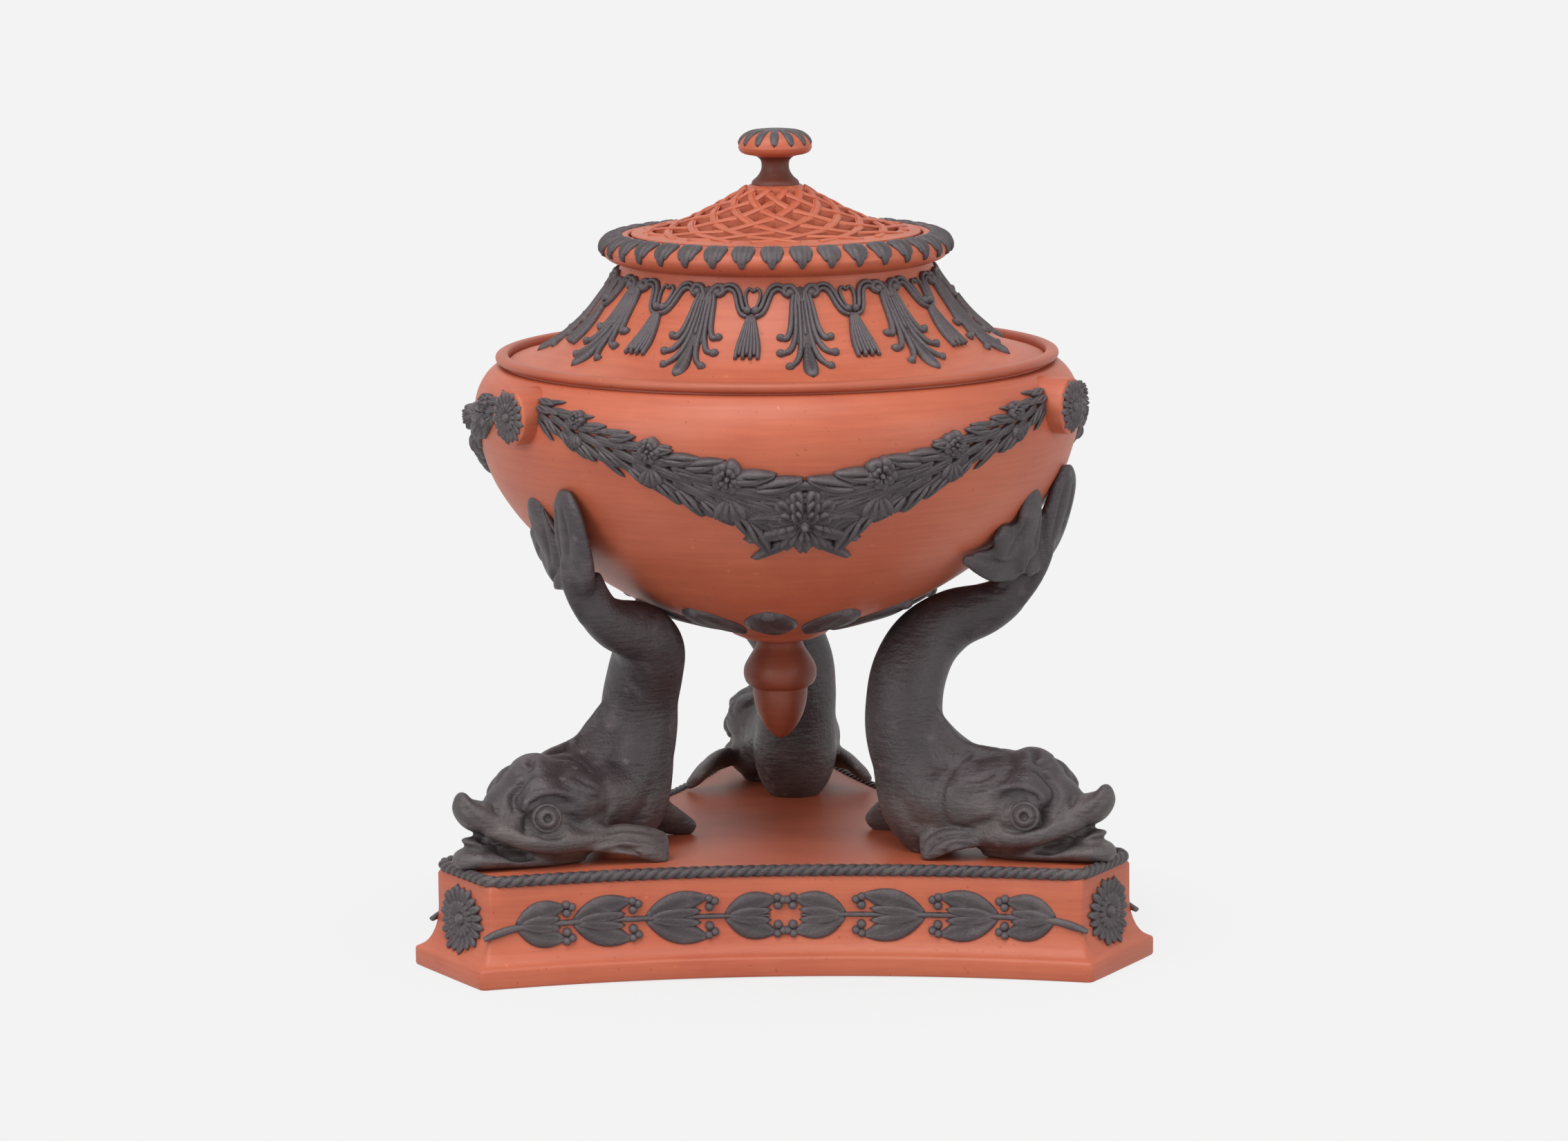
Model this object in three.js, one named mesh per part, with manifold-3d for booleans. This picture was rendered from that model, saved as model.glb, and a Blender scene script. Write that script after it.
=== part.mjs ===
// Pastille burner: a covered bowl carried by three dolphins on a triangular plinth.
// Millimetres, +Z up. The origin is under the middle of the whole, on the surface that the plinth stands on.
import * as THREE from 'three';
import { mergeVertices } from 'three/addons/utils/BufferGeometryUtils.js';
import Module from 'manifold-3d';

const wasm = await Module();
wasm.setup();

// Clearances
const gap = 0.3;
const reliefGap = 0.35;
const lidClearance = 0.35;

// Plinth
const plinthHeight = 18.8;
const plinthCornerReach = 68.85;
const plinthSideReach = 37.2;
const plinthSideRadius = 179.4;
const footBandHeight = 3.6;
const coveDepth = 3.4;
const coveTop = 10.8;
const plinthWall = 4.5;
const plinthCrown = 4.5;
const ropeDiameter = 2.1;
const sideSteps = 8;
const cornerRosetteRopeGap = 0.1;
const cornerRosetteFootGap = 0.7;
const laurelLeafLength = 11;
const laurelLeafWidth = 3.6;
const laurelStemWidth = 1.5;
const laurelPairs = 4;
const laurelPairPitch = 12.2;
const laurelMiddleGap = 1.2;
const berryRadius = 0.8;

// Each dolphin stands on the plinth's top
const bowlFootLift = 35;
const eyeReach = 49;
const eyeHeight = 7;
const eyeRadius = 2.5;
const crestThickness = 2.2;
const flukeThickness = 2.8;
const finThickness = 2.2;

// Bowl, measured up from its foot
const turnedSides = 36;
const bowlNeckRadius = 4;
const bowlFootRadius = 9.2;
const bowlBellyRadius = 54.3;
const bowlBellyHeight = 43.2;
const bowlMouthRadius = 50.6;
const bowlMouthHeight = 50.4;
const bowlWall = 3.2;
const ringHeight = 3.1;
const ringOuterRadius = 50.4;
const ringInnerRadius = 48.2;
const seatDepth = 3.6;
const mouthRadius = 45.5;
const calyxLeaves = 12;
const calyxInnerRadius = 10.5;
const calyxLeafLength = 18.5;
const calyxTurn = -155;
const calyxRise = 1.1;
const acornLength = 18.2;
const acornCapRadius = 6.6;
const acornNutRadius = 4.85;

// Ornament on the bowl, measured down from its mouth
const bossRadius = 5;
const bossProud = 3.5;
const bossDrop = 5.2;
const bossTurn = 4;
const bossRosetteRadius = 4.35;
const garlandMiddleDrop = 20.2;
const garlandRise = 16.6;
// Powers by which a garland rises and narrows from its middle
const garlandRisePower = 1.9;
const garlandTaperPower = 1.5;
const garlandHalfWidth = 6.6;
const garlandEndHalfWidth = 3.3;
const garlandRelief = 2.2;
const garlandSteps = 22;
const garlandGap = 0.6;
const garlandLeafLength = 9.6;
const garlandLeafWidth = 3.4;
const garlandLeafRise = 2.7;
// The least share of a leaf's size that is left where the garland is narrow, and the degrees a leaf spans
const garlandLeafLeast = 0.55;
const garlandLeafSpan = 10;
// Leaves of half a garland: degrees from its middle to the leaf's foot, how far up the foot is as a share of
// the half width, and how far the leaf turns up from the garland's line
const garlandLeaves = [
  [9.5, 0.5, 24],
  [14, 0.55, 20],
  [26, 0.5, 18],
  [30.5, 0.55, 16],
  [43, 0.4, 20],
  [53, 0.3, 16],
  [19.5, -0.5, -14],
  [33, -0.5, -16],
  [39, -0.2, -4],
  [44, -0.5, -16],
  [52.5, -0.3, -14],
];
// Flowers of half a garland, by degrees from its middle; sizes and places up are shares of the half width
const garlandFlowers = [15.2, 30, 45.6];
const garlandFlowerPetals = 5;
const garlandFlowerRise = 2.4;
const garlandFlowerSize = 0.52;
const garlandFlowerUp = 0.68;
const garlandLobeUp = -0.1;
const garlandLobeLength = 1.1;
const garlandHeartPetals = 7;
const garlandHeartSize = 0.8;
const garlandHeartUp = -0.15;

// Cover, measured up from the seat in the bowl's rim
const coverEdge = 1.7;
const coverHeight = 17.5;
const coverNeckRadius = 28.2;
const coverWall = 2.7;
const flangeLength = 4.2;
const flangeWall = 2.2;
const collarRadius = 31.2;
const collarHeight = 6.4;
const collarRimWidth = 4.8;
const throatInset = 3.8;
const lidRecessDepth = 2.2;
const friezeCount = 11;
const friezeTurn = -82.5;
const anthemionRise = 1.1;
const anthemionWidth = 3.4;
const anthemionLap = 2;
const anthemionTopMargin = 1.6;
const tasselWidth = 2.8;
const festoonLength = 6.4;
const festoonWidth = 1.6;
const borderLeaves = 37;
const borderRise = 0.9;

// Pierced lid, measured up from its seat in the cover
const lidEdge = 1.7;
const lidRise = 10.8;
const lidThickness = 2.3;
const lidFlangeLength = 3.6;
const lidFlangeWall = 0.95;
const knobSeatRadius = 4.6;
const latticeCount = 12;
const latticeTurn = -91;
const latticeRows = 8;
const latticeInnerNode = 6.02;
const latticeStrap = 1.1;
const latticeRim = 1;
const latticeInnerRadius = 5.1;

// Knob, measured up from its seat on the lid
const knobHeight = 9;
const knobRadius = 6.6;
const knobStemRadius = 2.45;
const knobLeaves = 12;
const knobLeafLength = 4.7;
const knobLeafWidth = 1.1;
const knobButtonRadius = 1.4;

// Stoneware bodies
const redware = new THREE.MeshStandardMaterial({ color: 0xb85c40, roughness: 0.85, metalness: 0 });
const darkRedware = new THREE.MeshStandardMaterial({ color: 0x6e3a30, roughness: 0.7, metalness: 0 });
const basalt = new THREE.MeshStandardMaterial({ color: 0x3d393a, roughness: 0.6, metalness: 0 });

const corners = [['left', -150], ['right', -30], ['rear', 90]];
const sides = [['front', -90], ['right', 30], ['left', 150]];

// A closed solid from a geometry, with its faces turned outward
function solid(geometry) {
  geometry.deleteAttribute('normal');
  geometry.deleteAttribute('uv');
  const merged = mergeVertices(geometry, 1e-4);
  const points = merged.attributes.position.array;
  const corner = (i) => new THREE.Vector3().fromArray(points, 3 * i);
  const triangles = [];
  let volume = 0;
  for (let i = 0; i < merged.index.count; i += 3) {
    const [a, b, c] = merged.index.array.slice(i, i + 3);
    if (a === b || b === c || c === a) continue;
    triangles.push([a, b, c]);
    volume += corner(a).dot(corner(b).cross(corner(c)));
  }
  const outward = volume > 0 ? triangles : triangles.map(([a, b, c]) => [a, c, b]);
  return new wasm.Manifold(new wasm.Mesh({
    numProp: 3,
    vertProperties: new Float32Array(points),
    triVerts: new Uint32Array(outward.flat()),
  }));
}

function join(solids) {
  return solids.reduce((whole, piece) => whole.add(piece));
}

// A named mesh made from a solid
function piece(name, body, material) {
  const { vertProperties, triVerts } = body.getMesh();
  const geometry = new THREE.BufferGeometry();
  geometry.setAttribute('position', new THREE.BufferAttribute(new Float32Array(vertProperties), 3));
  geometry.setIndex(new THREE.BufferAttribute(new Uint32Array(triVerts), 1));
  geometry.computeVertexNormals();
  const mesh = new THREE.Mesh(geometry, material);
  mesh.name = name;
  return mesh;
}

// A turned solid from its [radius, height] profile, which starts and ends on the axis or closes
function turned(profile, segments = turnedSides, turn = 0) {
  const points = profile.map(([radius, height]) => new THREE.Vector2(radius, height));
  const geometry = new THREE.LatheGeometry(points, segments);
  geometry.rotateX(Math.PI / 2);
  geometry.rotateZ(THREE.MathUtils.degToRad(turn));
  return solid(geometry);
}

// A solid skinned over rings with equal numbers of points, capped unless it runs round on itself
function skinned(rings, endless = false) {
  const count = rings[0].length;
  const points = rings.flat();
  const faces = [];
  const spans = endless ? rings.length : rings.length - 1;
  for (let i = 0; i < spans; i++) {
    const here = i * count;
    const next = ((i + 1) % rings.length) * count;
    for (let j = 0; j < count; j++) {
      const k = (j + 1) % count;
      faces.push(here + j, next + j, next + k);
      faces.push(here + j, next + k, here + k);
    }
  }
  if (!endless) {
    const ends = [[rings[0], 0, 1], [rings.at(-1), (rings.length - 1) * count, -1]];
    for (const [ring, start, side] of ends) {
      const middle = points.length;
      points.push(ring.reduce((sum, point) => sum.add(point), new THREE.Vector3()).divideScalar(count));
      for (let j = 0; j < count; j++) {
        const pair = [start + j, start + (j + 1) % count];
        faces.push(middle, ...(side > 0 ? pair : pair.reverse()));
      }
    }
  }
  const geometry = new THREE.BufferGeometry().setFromPoints(points);
  geometry.setIndex(faces);
  return solid(geometry);
}

// A plate with a centre, an outline round it and a thickness along one direction
function plate(centre, outline, direction, thickness) {
  const half = new THREE.Vector3(...direction).normalize().multiplyScalar(thickness / 2);
  const middle = new THREE.Vector3(...centre);
  const edge = outline.map((point) => new THREE.Vector3(...point));
  return skinned([
    edge.map(() => middle.clone().sub(half)),
    edge.map((point) => point.clone().sub(half)),
    edge.map((point) => point.clone().add(half)),
    edge.map(() => middle.clone().add(half)),
  ]);
}

// Points of a smooth profile through a few [radius, height] points
function curve(points, steps) {
  const spline = new THREE.SplineCurve(points.map((point) => new THREE.Vector2(...point)));
  return spline.getPoints(steps).map((point) => [point.x, point.y]);
}

// A profile moved sideways by a distance, to its outer side where it is listed from bottom to top
function offsetProfile(profile, distance) {
  return profile.map(([radius, height], i) => {
    const before = profile[Math.max(i - 1, 0)];
    const after = profile[Math.min(i + 1, profile.length - 1)];
    const normal = new THREE.Vector2(after[1] - before[1], before[0] - after[0]).normalize();
    return [radius + normal.x * distance, height + normal.y * distance];
  });
}

// A turned surface: the angle in degrees, the distance along its profile and the height above it
function turnedSurface(profile) {
  const lengths = [0];
  for (let i = 1; i < profile.length; i++) {
    const run = Math.hypot(profile[i][0] - profile[i - 1][0], profile[i][1] - profile[i - 1][1]);
    lengths.push(lengths.at(-1) + run);
  }
  const at = (along, lift) => {
    const line = offsetProfile(profile, lift);
    const next = lengths.findIndex((length, i) => i > 0 && length >= along);
    const i = next < 0 ? profile.length - 2 : next - 1;
    const share = (along - lengths[i]) / (lengths[i + 1] - lengths[i]);
    return [0, 1].map((key) => THREE.MathUtils.lerp(line[i][key], line[i + 1][key], share));
  };
  return {
    length: lengths.at(-1),
    alongAt: (key, value) => {
      const i = profile.findIndex((point, j) => {
        return j > 0 && (point[key] - value) * (profile[j - 1][key] - value) <= 0;
      });
      const share = (value - profile[i - 1][key]) / (profile[i][key] - profile[i - 1][key]);
      return THREE.MathUtils.lerp(lengths[i - 1], lengths[i], share);
    },
    point: (degrees, along, lift) => {
      const [radius, height] = at(along, lift);
      const angle = THREE.MathUtils.degToRad(degrees);
      return new THREE.Vector3(radius * Math.cos(angle), radius * Math.sin(angle), height);
    },
    shift: (degrees, along, aside, up) => {
      const [radius] = at(along + up, 0);
      return [degrees + THREE.MathUtils.radToDeg(aside / radius), along + up];
    },
  };
}

// A surface measured in millimetres both ways, from a function of those two and the height above it
function flatSurface(point) {
  return { point, shift: (across, up, aside, further) => [across + aside, up + further] };
}

// A ridged leaf on a surface; its heading is in degrees from straight up and turns by the bend
function leaf(surface, base, heading, length, width, rise, bend = 0) {
  const shares = [[0, 0], [0.45, 1], [1, 0]];
  const rings = shares.map(([share, fullness]) => {
    const angle = THREE.MathUtils.degToRad(heading + bend * share);
    const chord = THREE.MathUtils.degToRad(heading + bend * share / 2);
    const x = Math.sin(chord) * length * share;
    const y = Math.cos(chord) * length * share;
    const half = width * fullness / 2;
    const section = fullness ? [[-half, 0], [half, 0], [0, rise]] : Array(3).fill([0, rise / 2]);
    return section.map(([aside, lift]) => {
      const place = surface.shift(...base, x + aside * Math.cos(angle), y - aside * Math.sin(angle));
      return surface.point(...place, reliefGap + lift);
    });
  });
  return skinned(rings);
}

// A level stem along a surface at a height, from one distance across to another
function stem(surface, from, to, height, width, rise) {
  const steps = 6;
  return skinned(Array.from({ length: steps + 1 }, (_, i) => {
    const across = THREE.MathUtils.lerp(from, to, i / steps);
    const section = [[-width / 2, 0], [width / 2, 0], [0, rise]];
    return section.map(([up, lift]) => surface.point(across, height + up, reliefGap + lift));
  }));
}

// A daisy on a surface: a raised heart and a ring of petals
function rosette(surface, centre, petals, radius, rise) {
  const ring = (reach, notch, lift) => Array.from({ length: 2 * petals }, (_, i) => {
    const angle = Math.PI * i / petals;
    const size = i % 2 ? notch : reach;
    const place = surface.shift(...centre, size * Math.cos(angle), size * Math.sin(angle));
    return surface.point(...place, reliefGap + lift);
  });
  return skinned([
    ring(0, 0, 1.3 * rise),
    ring(0.34 * radius, 0.34 * radius, rise),
    ring(radius, 0.82 * radius, 0.6 * rise),
    ring(radius, 0.82 * radius, 0),
    ring(0, 0, 0),
  ]);
}

// How far the plinth's wall stands in from its foot at a height
function wallInset(height) {
  if (height <= footBandHeight) return 0;
  const rest = Math.max(coveTop - height, 0) / (coveTop - footBandHeight);
  return coveDepth * Math.sqrt(1 - rest * rest);
}

// A point on one hollow side of the plinth, which faces -Y before it is turned
function sidePoint(across, height, inset) {
  const radius = plinthSideRadius + inset;
  const angle = across / plinthSideRadius;
  const y = radius * Math.cos(angle) - plinthSideReach - plinthSideRadius;
  return new THREE.Vector3(radius * Math.sin(angle), y, height);
}

// Half the length of a hollow side, where it meets the flats of the cut corners
function sideHalfLength(inset) {
  const reach = plinthCornerReach - inset - (plinthSideReach + plinthSideRadius) / 2;
  return plinthSideRadius * (Math.PI / 6 + Math.asin(reach / (plinthSideRadius + inset)));
}

// The plinth's outline at an inset from its foot
function plinthOutline(inset, height) {
  const half = sideHalfLength(inset);
  return sides.flatMap(([, direction]) => Array.from({ length: sideSteps + 1 }, (_, i) => {
    const across = half * (2 * i / sideSteps - 1);
    const turn = THREE.MathUtils.degToRad(direction + 90);
    return sidePoint(across, height, inset).applyAxisAngle(new THREE.Vector3(0, 0, 1), turn);
  }));
}

const ropeBottom = plinthHeight - gap - ropeDiameter;
const ropeCentreHeight = ropeBottom + ropeDiameter / 2;
const cornerRosetteRadius = (ropeBottom - footBandHeight - cornerRosetteRopeGap - cornerRosetteFootGap) / 2;
const cornerRosetteHeight = ropeBottom - cornerRosetteRopeGap - cornerRosetteRadius;
const laurelHeight = (ropeBottom + footBandHeight) / 2;

function makePlinth() {
  const shelf = ropeBottom - gap;
  const rebate = coveDepth + ropeDiameter / 2 + gap;
  const coveSteps = 3;
  const levels = [[0, 0]];
  for (let i = 0; i <= coveSteps; i++) {
    const angle = Math.PI / 2 * i / coveSteps;
    levels.push([coveDepth * Math.sin(angle), coveTop - (coveTop - footBandHeight) * Math.cos(angle)]);
  }
  levels.push([coveDepth, shelf], [rebate, shelf], [rebate, plinthHeight]);
  const body = skinned(levels.map(([inset, height]) => plinthOutline(inset, height)));
  const innerInset = coveDepth + plinthWall;
  const hollow = skinned([-gap, plinthHeight - plinthCrown].map((height) => {
    return plinthOutline(innerInset, height);
  }));
  return piece('plinth', body.subtract(hollow), redware);
}

function makeRope() {
  const ropeSides = 6;
  const rings = Array.from({ length: ropeSides }, (_, i) => {
    const angle = 2 * Math.PI * i / ropeSides;
    const inset = coveDepth + ropeDiameter / 2 * Math.cos(angle);
    return plinthOutline(inset, ropeCentreHeight + ropeDiameter / 2 * Math.sin(angle));
  });
  return piece('rope_border', skinned(rings, true), basalt);
}

// The flat of a cut corner, facing +X
const cornerFlat = flatSurface((across, height, lift) => {
  return new THREE.Vector3(plinthCornerReach - wallInset(height) + lift, across, height);
});

// A hollow side, facing -Y
const hollowSide = flatSurface((across, height, lift) => {
  return sidePoint(across, height, wallInset(height) - lift);
});

function makeLaurel(name, hand) {
  const rise = 1;
  const inner = laurelMiddleGap + laurelLeafLength;
  const stemStart = inner + (laurelPairs - 0.7) * laurelPairPitch;
  const parts = [stem(hollowSide, hand * stemStart, hand * laurelMiddleGap, laurelHeight, laurelStemWidth,
    rise)];
  for (let pair = 0; pair < laurelPairs; pair++) {
    const start = inner + pair * laurelPairPitch;
    for (const fold of [-1, 1]) {
      const heading = -hand * (90 - fold * 24);
      parts.push(leaf(hollowSide, [hand * start, laurelHeight], heading, laurelLeafLength, laurelLeafWidth,
        rise, -hand * fold * 26));
    }
    const berry = new THREE.SphereGeometry(berryRadius, 4, 2);
    const place = [hand * (start - laurelLeafLength * 0.85), laurelHeight, reliefGap + berryRadius];
    parts.push(solid(berry.translate(...hollowSide.point(...place).toArray())));
  }
  return piece(name, join(parts), basalt);
}

// The dolphin is drawn at the size that fits these, and is stretched where the plinth or the bowl differs
const drawn = { cornerReach: 68.85, footLift: 35 };
const outStretch = plinthCornerReach / drawn.cornerReach;
const upStretch = bowlFootLift / drawn.footLift;
const stretched = ([reach, aside, height]) => [reach * outStretch, aside * outStretch, height * upStretch];

// Dolphin rings: reach, height, lean of the section, half depth, half width and sideways shift
const bodyRings = [
  [61.5, 8, 0, 3.2, 4.2, 0],
  [58.5, 9.2, 0, 7, 6.8, 0],
  [55, 10, 0, 9.2, 8.3, 0],
  [50, 10, 0, 9.7, 9.3, 0],
  [44.5, 9.6, 0, 9.6, 9, 0],
  [39, 9.9, 12, 9.6, 8.2, 0],
  [33.8, 11.2, 35, 9, 7.4, 0],
  [30.2, 15.8, 58, 8, 7, 0],
  [28.2, 20.8, 74, 7.3, 7.4, 0],
  [27.4, 26, 86, 7.4, 7.6, 0],
  [27.5, 31.5, 94, 7.6, 7.6, 0.3],
  [28.8, 36.5, 106, 7.8, 6.7, 1.8],
  [32, 40.8, 124, 7, 5.8, 3.8],
  [37.3, 43.3, 143, 5.6, 5, 5.6],
];

// The end of the tail follows the bowl: its reach is measured out from the bowl's wall
const tailRings = [
  [11.7, 46.2, 146, 4.4, 4.4, 7.2],
  [8.22, 50.4, 128, 3, 3.6, 8.4],
];
const beakRings = [
  [58, 9.8, 0, 3, 4.8, 0],
  [62.5, 10.8, 4, 1.5, 4, 0],
  [65.6, 12, 40, 1, 3.2, 0],
  [65.8, 14, 80, 0.6, 2, 0],
];
const jawRings = [
  [55, 2.6, 0, 3.2, 5.6, 0],
  [61, 2.8, 0, 3, 4.8, 0],
  [66, 2.2, 0, 2.6, 4, 0],
  [68, 1.6, 0, 1.4, 3, 0],
];
const crestOutline = [
  [37, 17.5],
  [39, 22.4],
  [40.2, 25.2],
  [41.2, 23],
  [42.6, 24.2],
  [43.4, 21],
  [46.5, 17.5],
];

// The tail fluke lies on the bowl: how far it stands out from the wall, aside and up
const flukeCentre = [2.15, 4.5, 57];
const flukeOutline = [
  [10.53, 1.6, 49],
  [7.34, -6, 50.2],
  [2.75, -11.4, 53.5],
  [-0.23, -7.6, 58.4],
  [-0.36, -3, 61],
  [-0.34, 0.5, 64.6],
  [0.7, 6.6, 64],
  [-0.15, 13.8, 68.4],
  [2.21, 15, 61],
  [5.17, 13.1, 54.7],
  [11.95, 11, 49.6],
];
const finCentre = [31, 11.5, 2.6];
const finOutline = [
  [41, 6.5, 6],
  [38, 12.5, 3.4],
  [31, 16.6, 1.6],
  [25.5, 16.8, 1.2],
  [27.5, 13.6, 1.5],
  [22.5, 13.2, 1.2],
  [25.5, 8.5, 2],
  [32, 5, 5],
];

// An egg-shaped body along the dolphin, narrower on its inner side
function dolphinTube(rows, count) {
  return skinned(rows.map(([reach, height, lean, depth, width, sideways]) => {
    const tilt = THREE.MathUtils.degToRad(lean);
    return Array.from({ length: count }, (_, i) => {
      const angle = 2 * Math.PI * (i + 0.5) / count;
      const out = depth * Math.cos(angle);
      const aside = sideways + width * Math.sin(angle) * (1 + 0.22 * Math.cos(angle));
      const place = [reach + out * Math.sin(tilt), aside, height + out * Math.cos(tilt)];
      return new THREE.Vector3(...stretched(place));
    });
  }));
}

function dolphinCrest() {
  const shape = new THREE.Shape(crestOutline.map(([reach, height]) => {
    return new THREE.Vector2(reach * outStretch, height * upStretch);
  }));
  const geometry = new THREE.ExtrudeGeometry(shape, { depth: crestThickness, bevelEnabled: false });
  geometry.translate(0, 0, -crestThickness / 2);
  geometry.rotateX(Math.PI / 2);
  return solid(geometry);
}

// Bowl, with every height measured from its foot
const bowlOuter = curve([
  [bowlFootRadius, 2.2],
  [bowlBellyRadius * 0.57, 11.4],
  [bowlBellyRadius * 0.829, 21.7],
  [bowlBellyRadius * 0.948, bowlBellyHeight - 12],
  [bowlBellyRadius, bowlBellyHeight],
  [bowlMouthRadius, bowlMouthHeight],
], 10);
const seatHeight = bowlMouthHeight + ringHeight - seatDepth;
const bowlSurface = turnedSurface(bowlOuter);
const calyxStart = bowlSurface.alongAt(0, calyxInnerRadius);
const bowlHeight = bowlMouthHeight + ringHeight;

function makeBowl() {
  const inside = offsetProfile(bowlOuter, -bowlWall).filter(([radius, height], i) => {
    return i % 2 === 1 && radius > bowlFootRadius && height < seatHeight - bowlWall - 1;
  });
  const grooveDepth = 0.7;
  const bandHeight = 1.7;
  return piece('bowl', turned([
    [0, 0],
    [bowlNeckRadius, 0],
    [bowlFootRadius, 1.7],
    ...bowlOuter,
    [ringOuterRadius - grooveDepth, bowlMouthHeight + 0.5],
    [ringOuterRadius - grooveDepth, bowlHeight - bandHeight],
    [ringOuterRadius, bowlHeight - bandHeight + 0.3],
    [ringOuterRadius, bowlHeight - 0.3],
    [ringOuterRadius - 0.5, bowlHeight],
    [ringInnerRadius, bowlHeight],
    [ringInnerRadius, seatHeight],
    [mouthRadius, seatHeight],
    [mouthRadius, seatHeight - bowlWall],
    ...inside.reverse(),
    [0, inside.at(-1)[1] - 0.6],
  ]), redware);
}

// The space that the bowl and the leaves under it keep clear of the dolphins
function bowlClearance(lift) {
  const raise = (profile) => profile.map(([radius, height]) => [radius, height + lift]);
  const grown = offsetProfile(bowlOuter, gap);
  const space = turned(raise([[0, grown[0][1]], ...grown, [0, grown.at(-1)[1]]]));
  const steps = 4;
  const under = Array.from({ length: steps + 1 }, (_, i) => {
    const along = calyxStart + (calyxLeafLength + gap) * i / steps;
    const point = bowlSurface.point(0, along, reliefGap + calyxRise + gap);
    return [point.x, point.z];
  });
  const top = [under.at(-1)[0], bowlBellyHeight];
  return space.add(turned(raise([[0, under[0][1]], ...under, top, [0, bowlBellyHeight]])));
}

// The bowl's radius at a height of the dolphin's drawing
function bowlRadius(height) {
  return bowlSurface.point(0, bowlSurface.alongAt(1, (height - drawn.footLift) * upStretch), 0).x;
}

// A point of the fluke, from how far it stands out from the bowl's wall
function onBowl([proud, aside, height]) {
  const radius = bowlRadius(height) + proud;
  return [Math.sqrt(radius ** 2 - (aside * outStretch) ** 2), aside * outStretch, height * upStretch];
}

function dolphinBody() {
  const tail = tailRings.map(([proud, height, ...rest]) => {
    return [(bowlRadius(height) + proud) / outStretch, height, ...rest];
  });
  const parts = [dolphinTube([...bodyRings, ...tail], 10), dolphinTube(beakRings, 6)];
  parts.push(dolphinTube(jawRings, 6), dolphinCrest());
  parts.push(plate(onBowl(flukeCentre), flukeOutline.map(onBowl), [1, 0, -0.4], flukeThickness));
  for (const hand of [-1, 1]) {
    const mirrored = ([reach, aside, height]) => stretched([reach, hand * aside, height]);
    parts.push(plate(mirrored(finCentre), finOutline.map(mirrored), [0, 0, 1], finThickness));
    const eye = new THREE.SphereGeometry(eyeRadius, 6, 4);
    parts.push(solid(eye.translate(eyeReach, hand * 8.2, eyeHeight)));
  }
  const floor = new THREE.BoxGeometry(3 * plinthCornerReach, plinthCornerReach, plinthHeight);
  const below = solid(floor.translate(0, 0, -plinthHeight / 2));
  return join(parts).subtract(below).subtract(bowlClearance(bowlFootLift));
}

function makeAcorn() {
  const capEdge = acornLength * 0.43;
  return piece('acorn_drop', turned([
    [0, 0],
    [bowlNeckRadius, 0],
    [acornCapRadius * 0.7, -acornLength * 0.12],
    [acornCapRadius * 0.95, -acornLength * 0.2],
    [acornCapRadius, -acornLength * 0.29],
    [acornCapRadius * 0.91, -capEdge],
    [acornNutRadius, -capEdge - 0.8],
    [acornNutRadius * 0.97, -acornLength * 0.6],
    [acornNutRadius * 0.82, -acornLength * 0.75],
    [acornNutRadius * 0.55, -acornLength * 0.88],
    [0, -acornLength],
  ], 18), redware);
}

// A collar of round-ended leaves under the bowl
function makeCalyx() {
  const lobe = [0.55, 0.9, 1, 0.9];
  const rings = [];
  for (let i = 0; i < 4 * calyxLeaves; i++) {
    const end = calyxStart + calyxLeafLength * lobe[i % 4];
    const middle = (calyxStart + end) / 2;
    const rise = calyxRise * (i % 4 === 2 ? 1 : 0.7);
    const section = [[calyxStart, 0], [middle, 0], [end, 0], [end, calyxRise * 0.4], [middle, rise],
      [calyxStart, rise]];
    const angle = calyxTurn + 90 * i / calyxLeaves;
    rings.push(section.map(([along, lift]) => bowlSurface.point(angle, along, reliefGap + lift)));
  }
  return piece('leaf_calyx', skinned(rings, true), basalt);
}

const bossHeight = bowlMouthHeight - bossDrop;

// A boss stands on the bowl's wall, facing +X before it is turned
function bossBody() {
  const front = bowlBellyRadius + bossProud;
  const back = bowlMouthRadius - bowlWall;
  const bore = new THREE.CylinderGeometry(bossRadius, bossRadius, front - back, 20);
  bore.rotateZ(Math.PI / 2);
  bore.translate((front + back) / 2, 0, bossHeight);
  const grown = offsetProfile(bowlOuter, gap);
  return solid(bore).subtract(turned([[0, grown[0][1]], ...grown, [0, grown.at(-1)[1] + bowlWall]]));
}

const bossFace = flatSurface((across, height, lift) => {
  return new THREE.Vector3(bowlBellyRadius + bossProud + lift, across, bossHeight + height);
});

// How far up the wall a garland's middle line lies at a share of its half span, and its half width
function garlandAt(share) {
  const height = bowlMouthHeight - garlandMiddleDrop + garlandRise * share ** garlandRisePower;
  const half = THREE.MathUtils.lerp(garlandHalfWidth, garlandEndHalfWidth, share ** garlandTaperPower);
  return [bowlSurface.alongAt(1, Math.min(height, bowlMouthHeight - garlandEndHalfWidth)), half];
}

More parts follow.
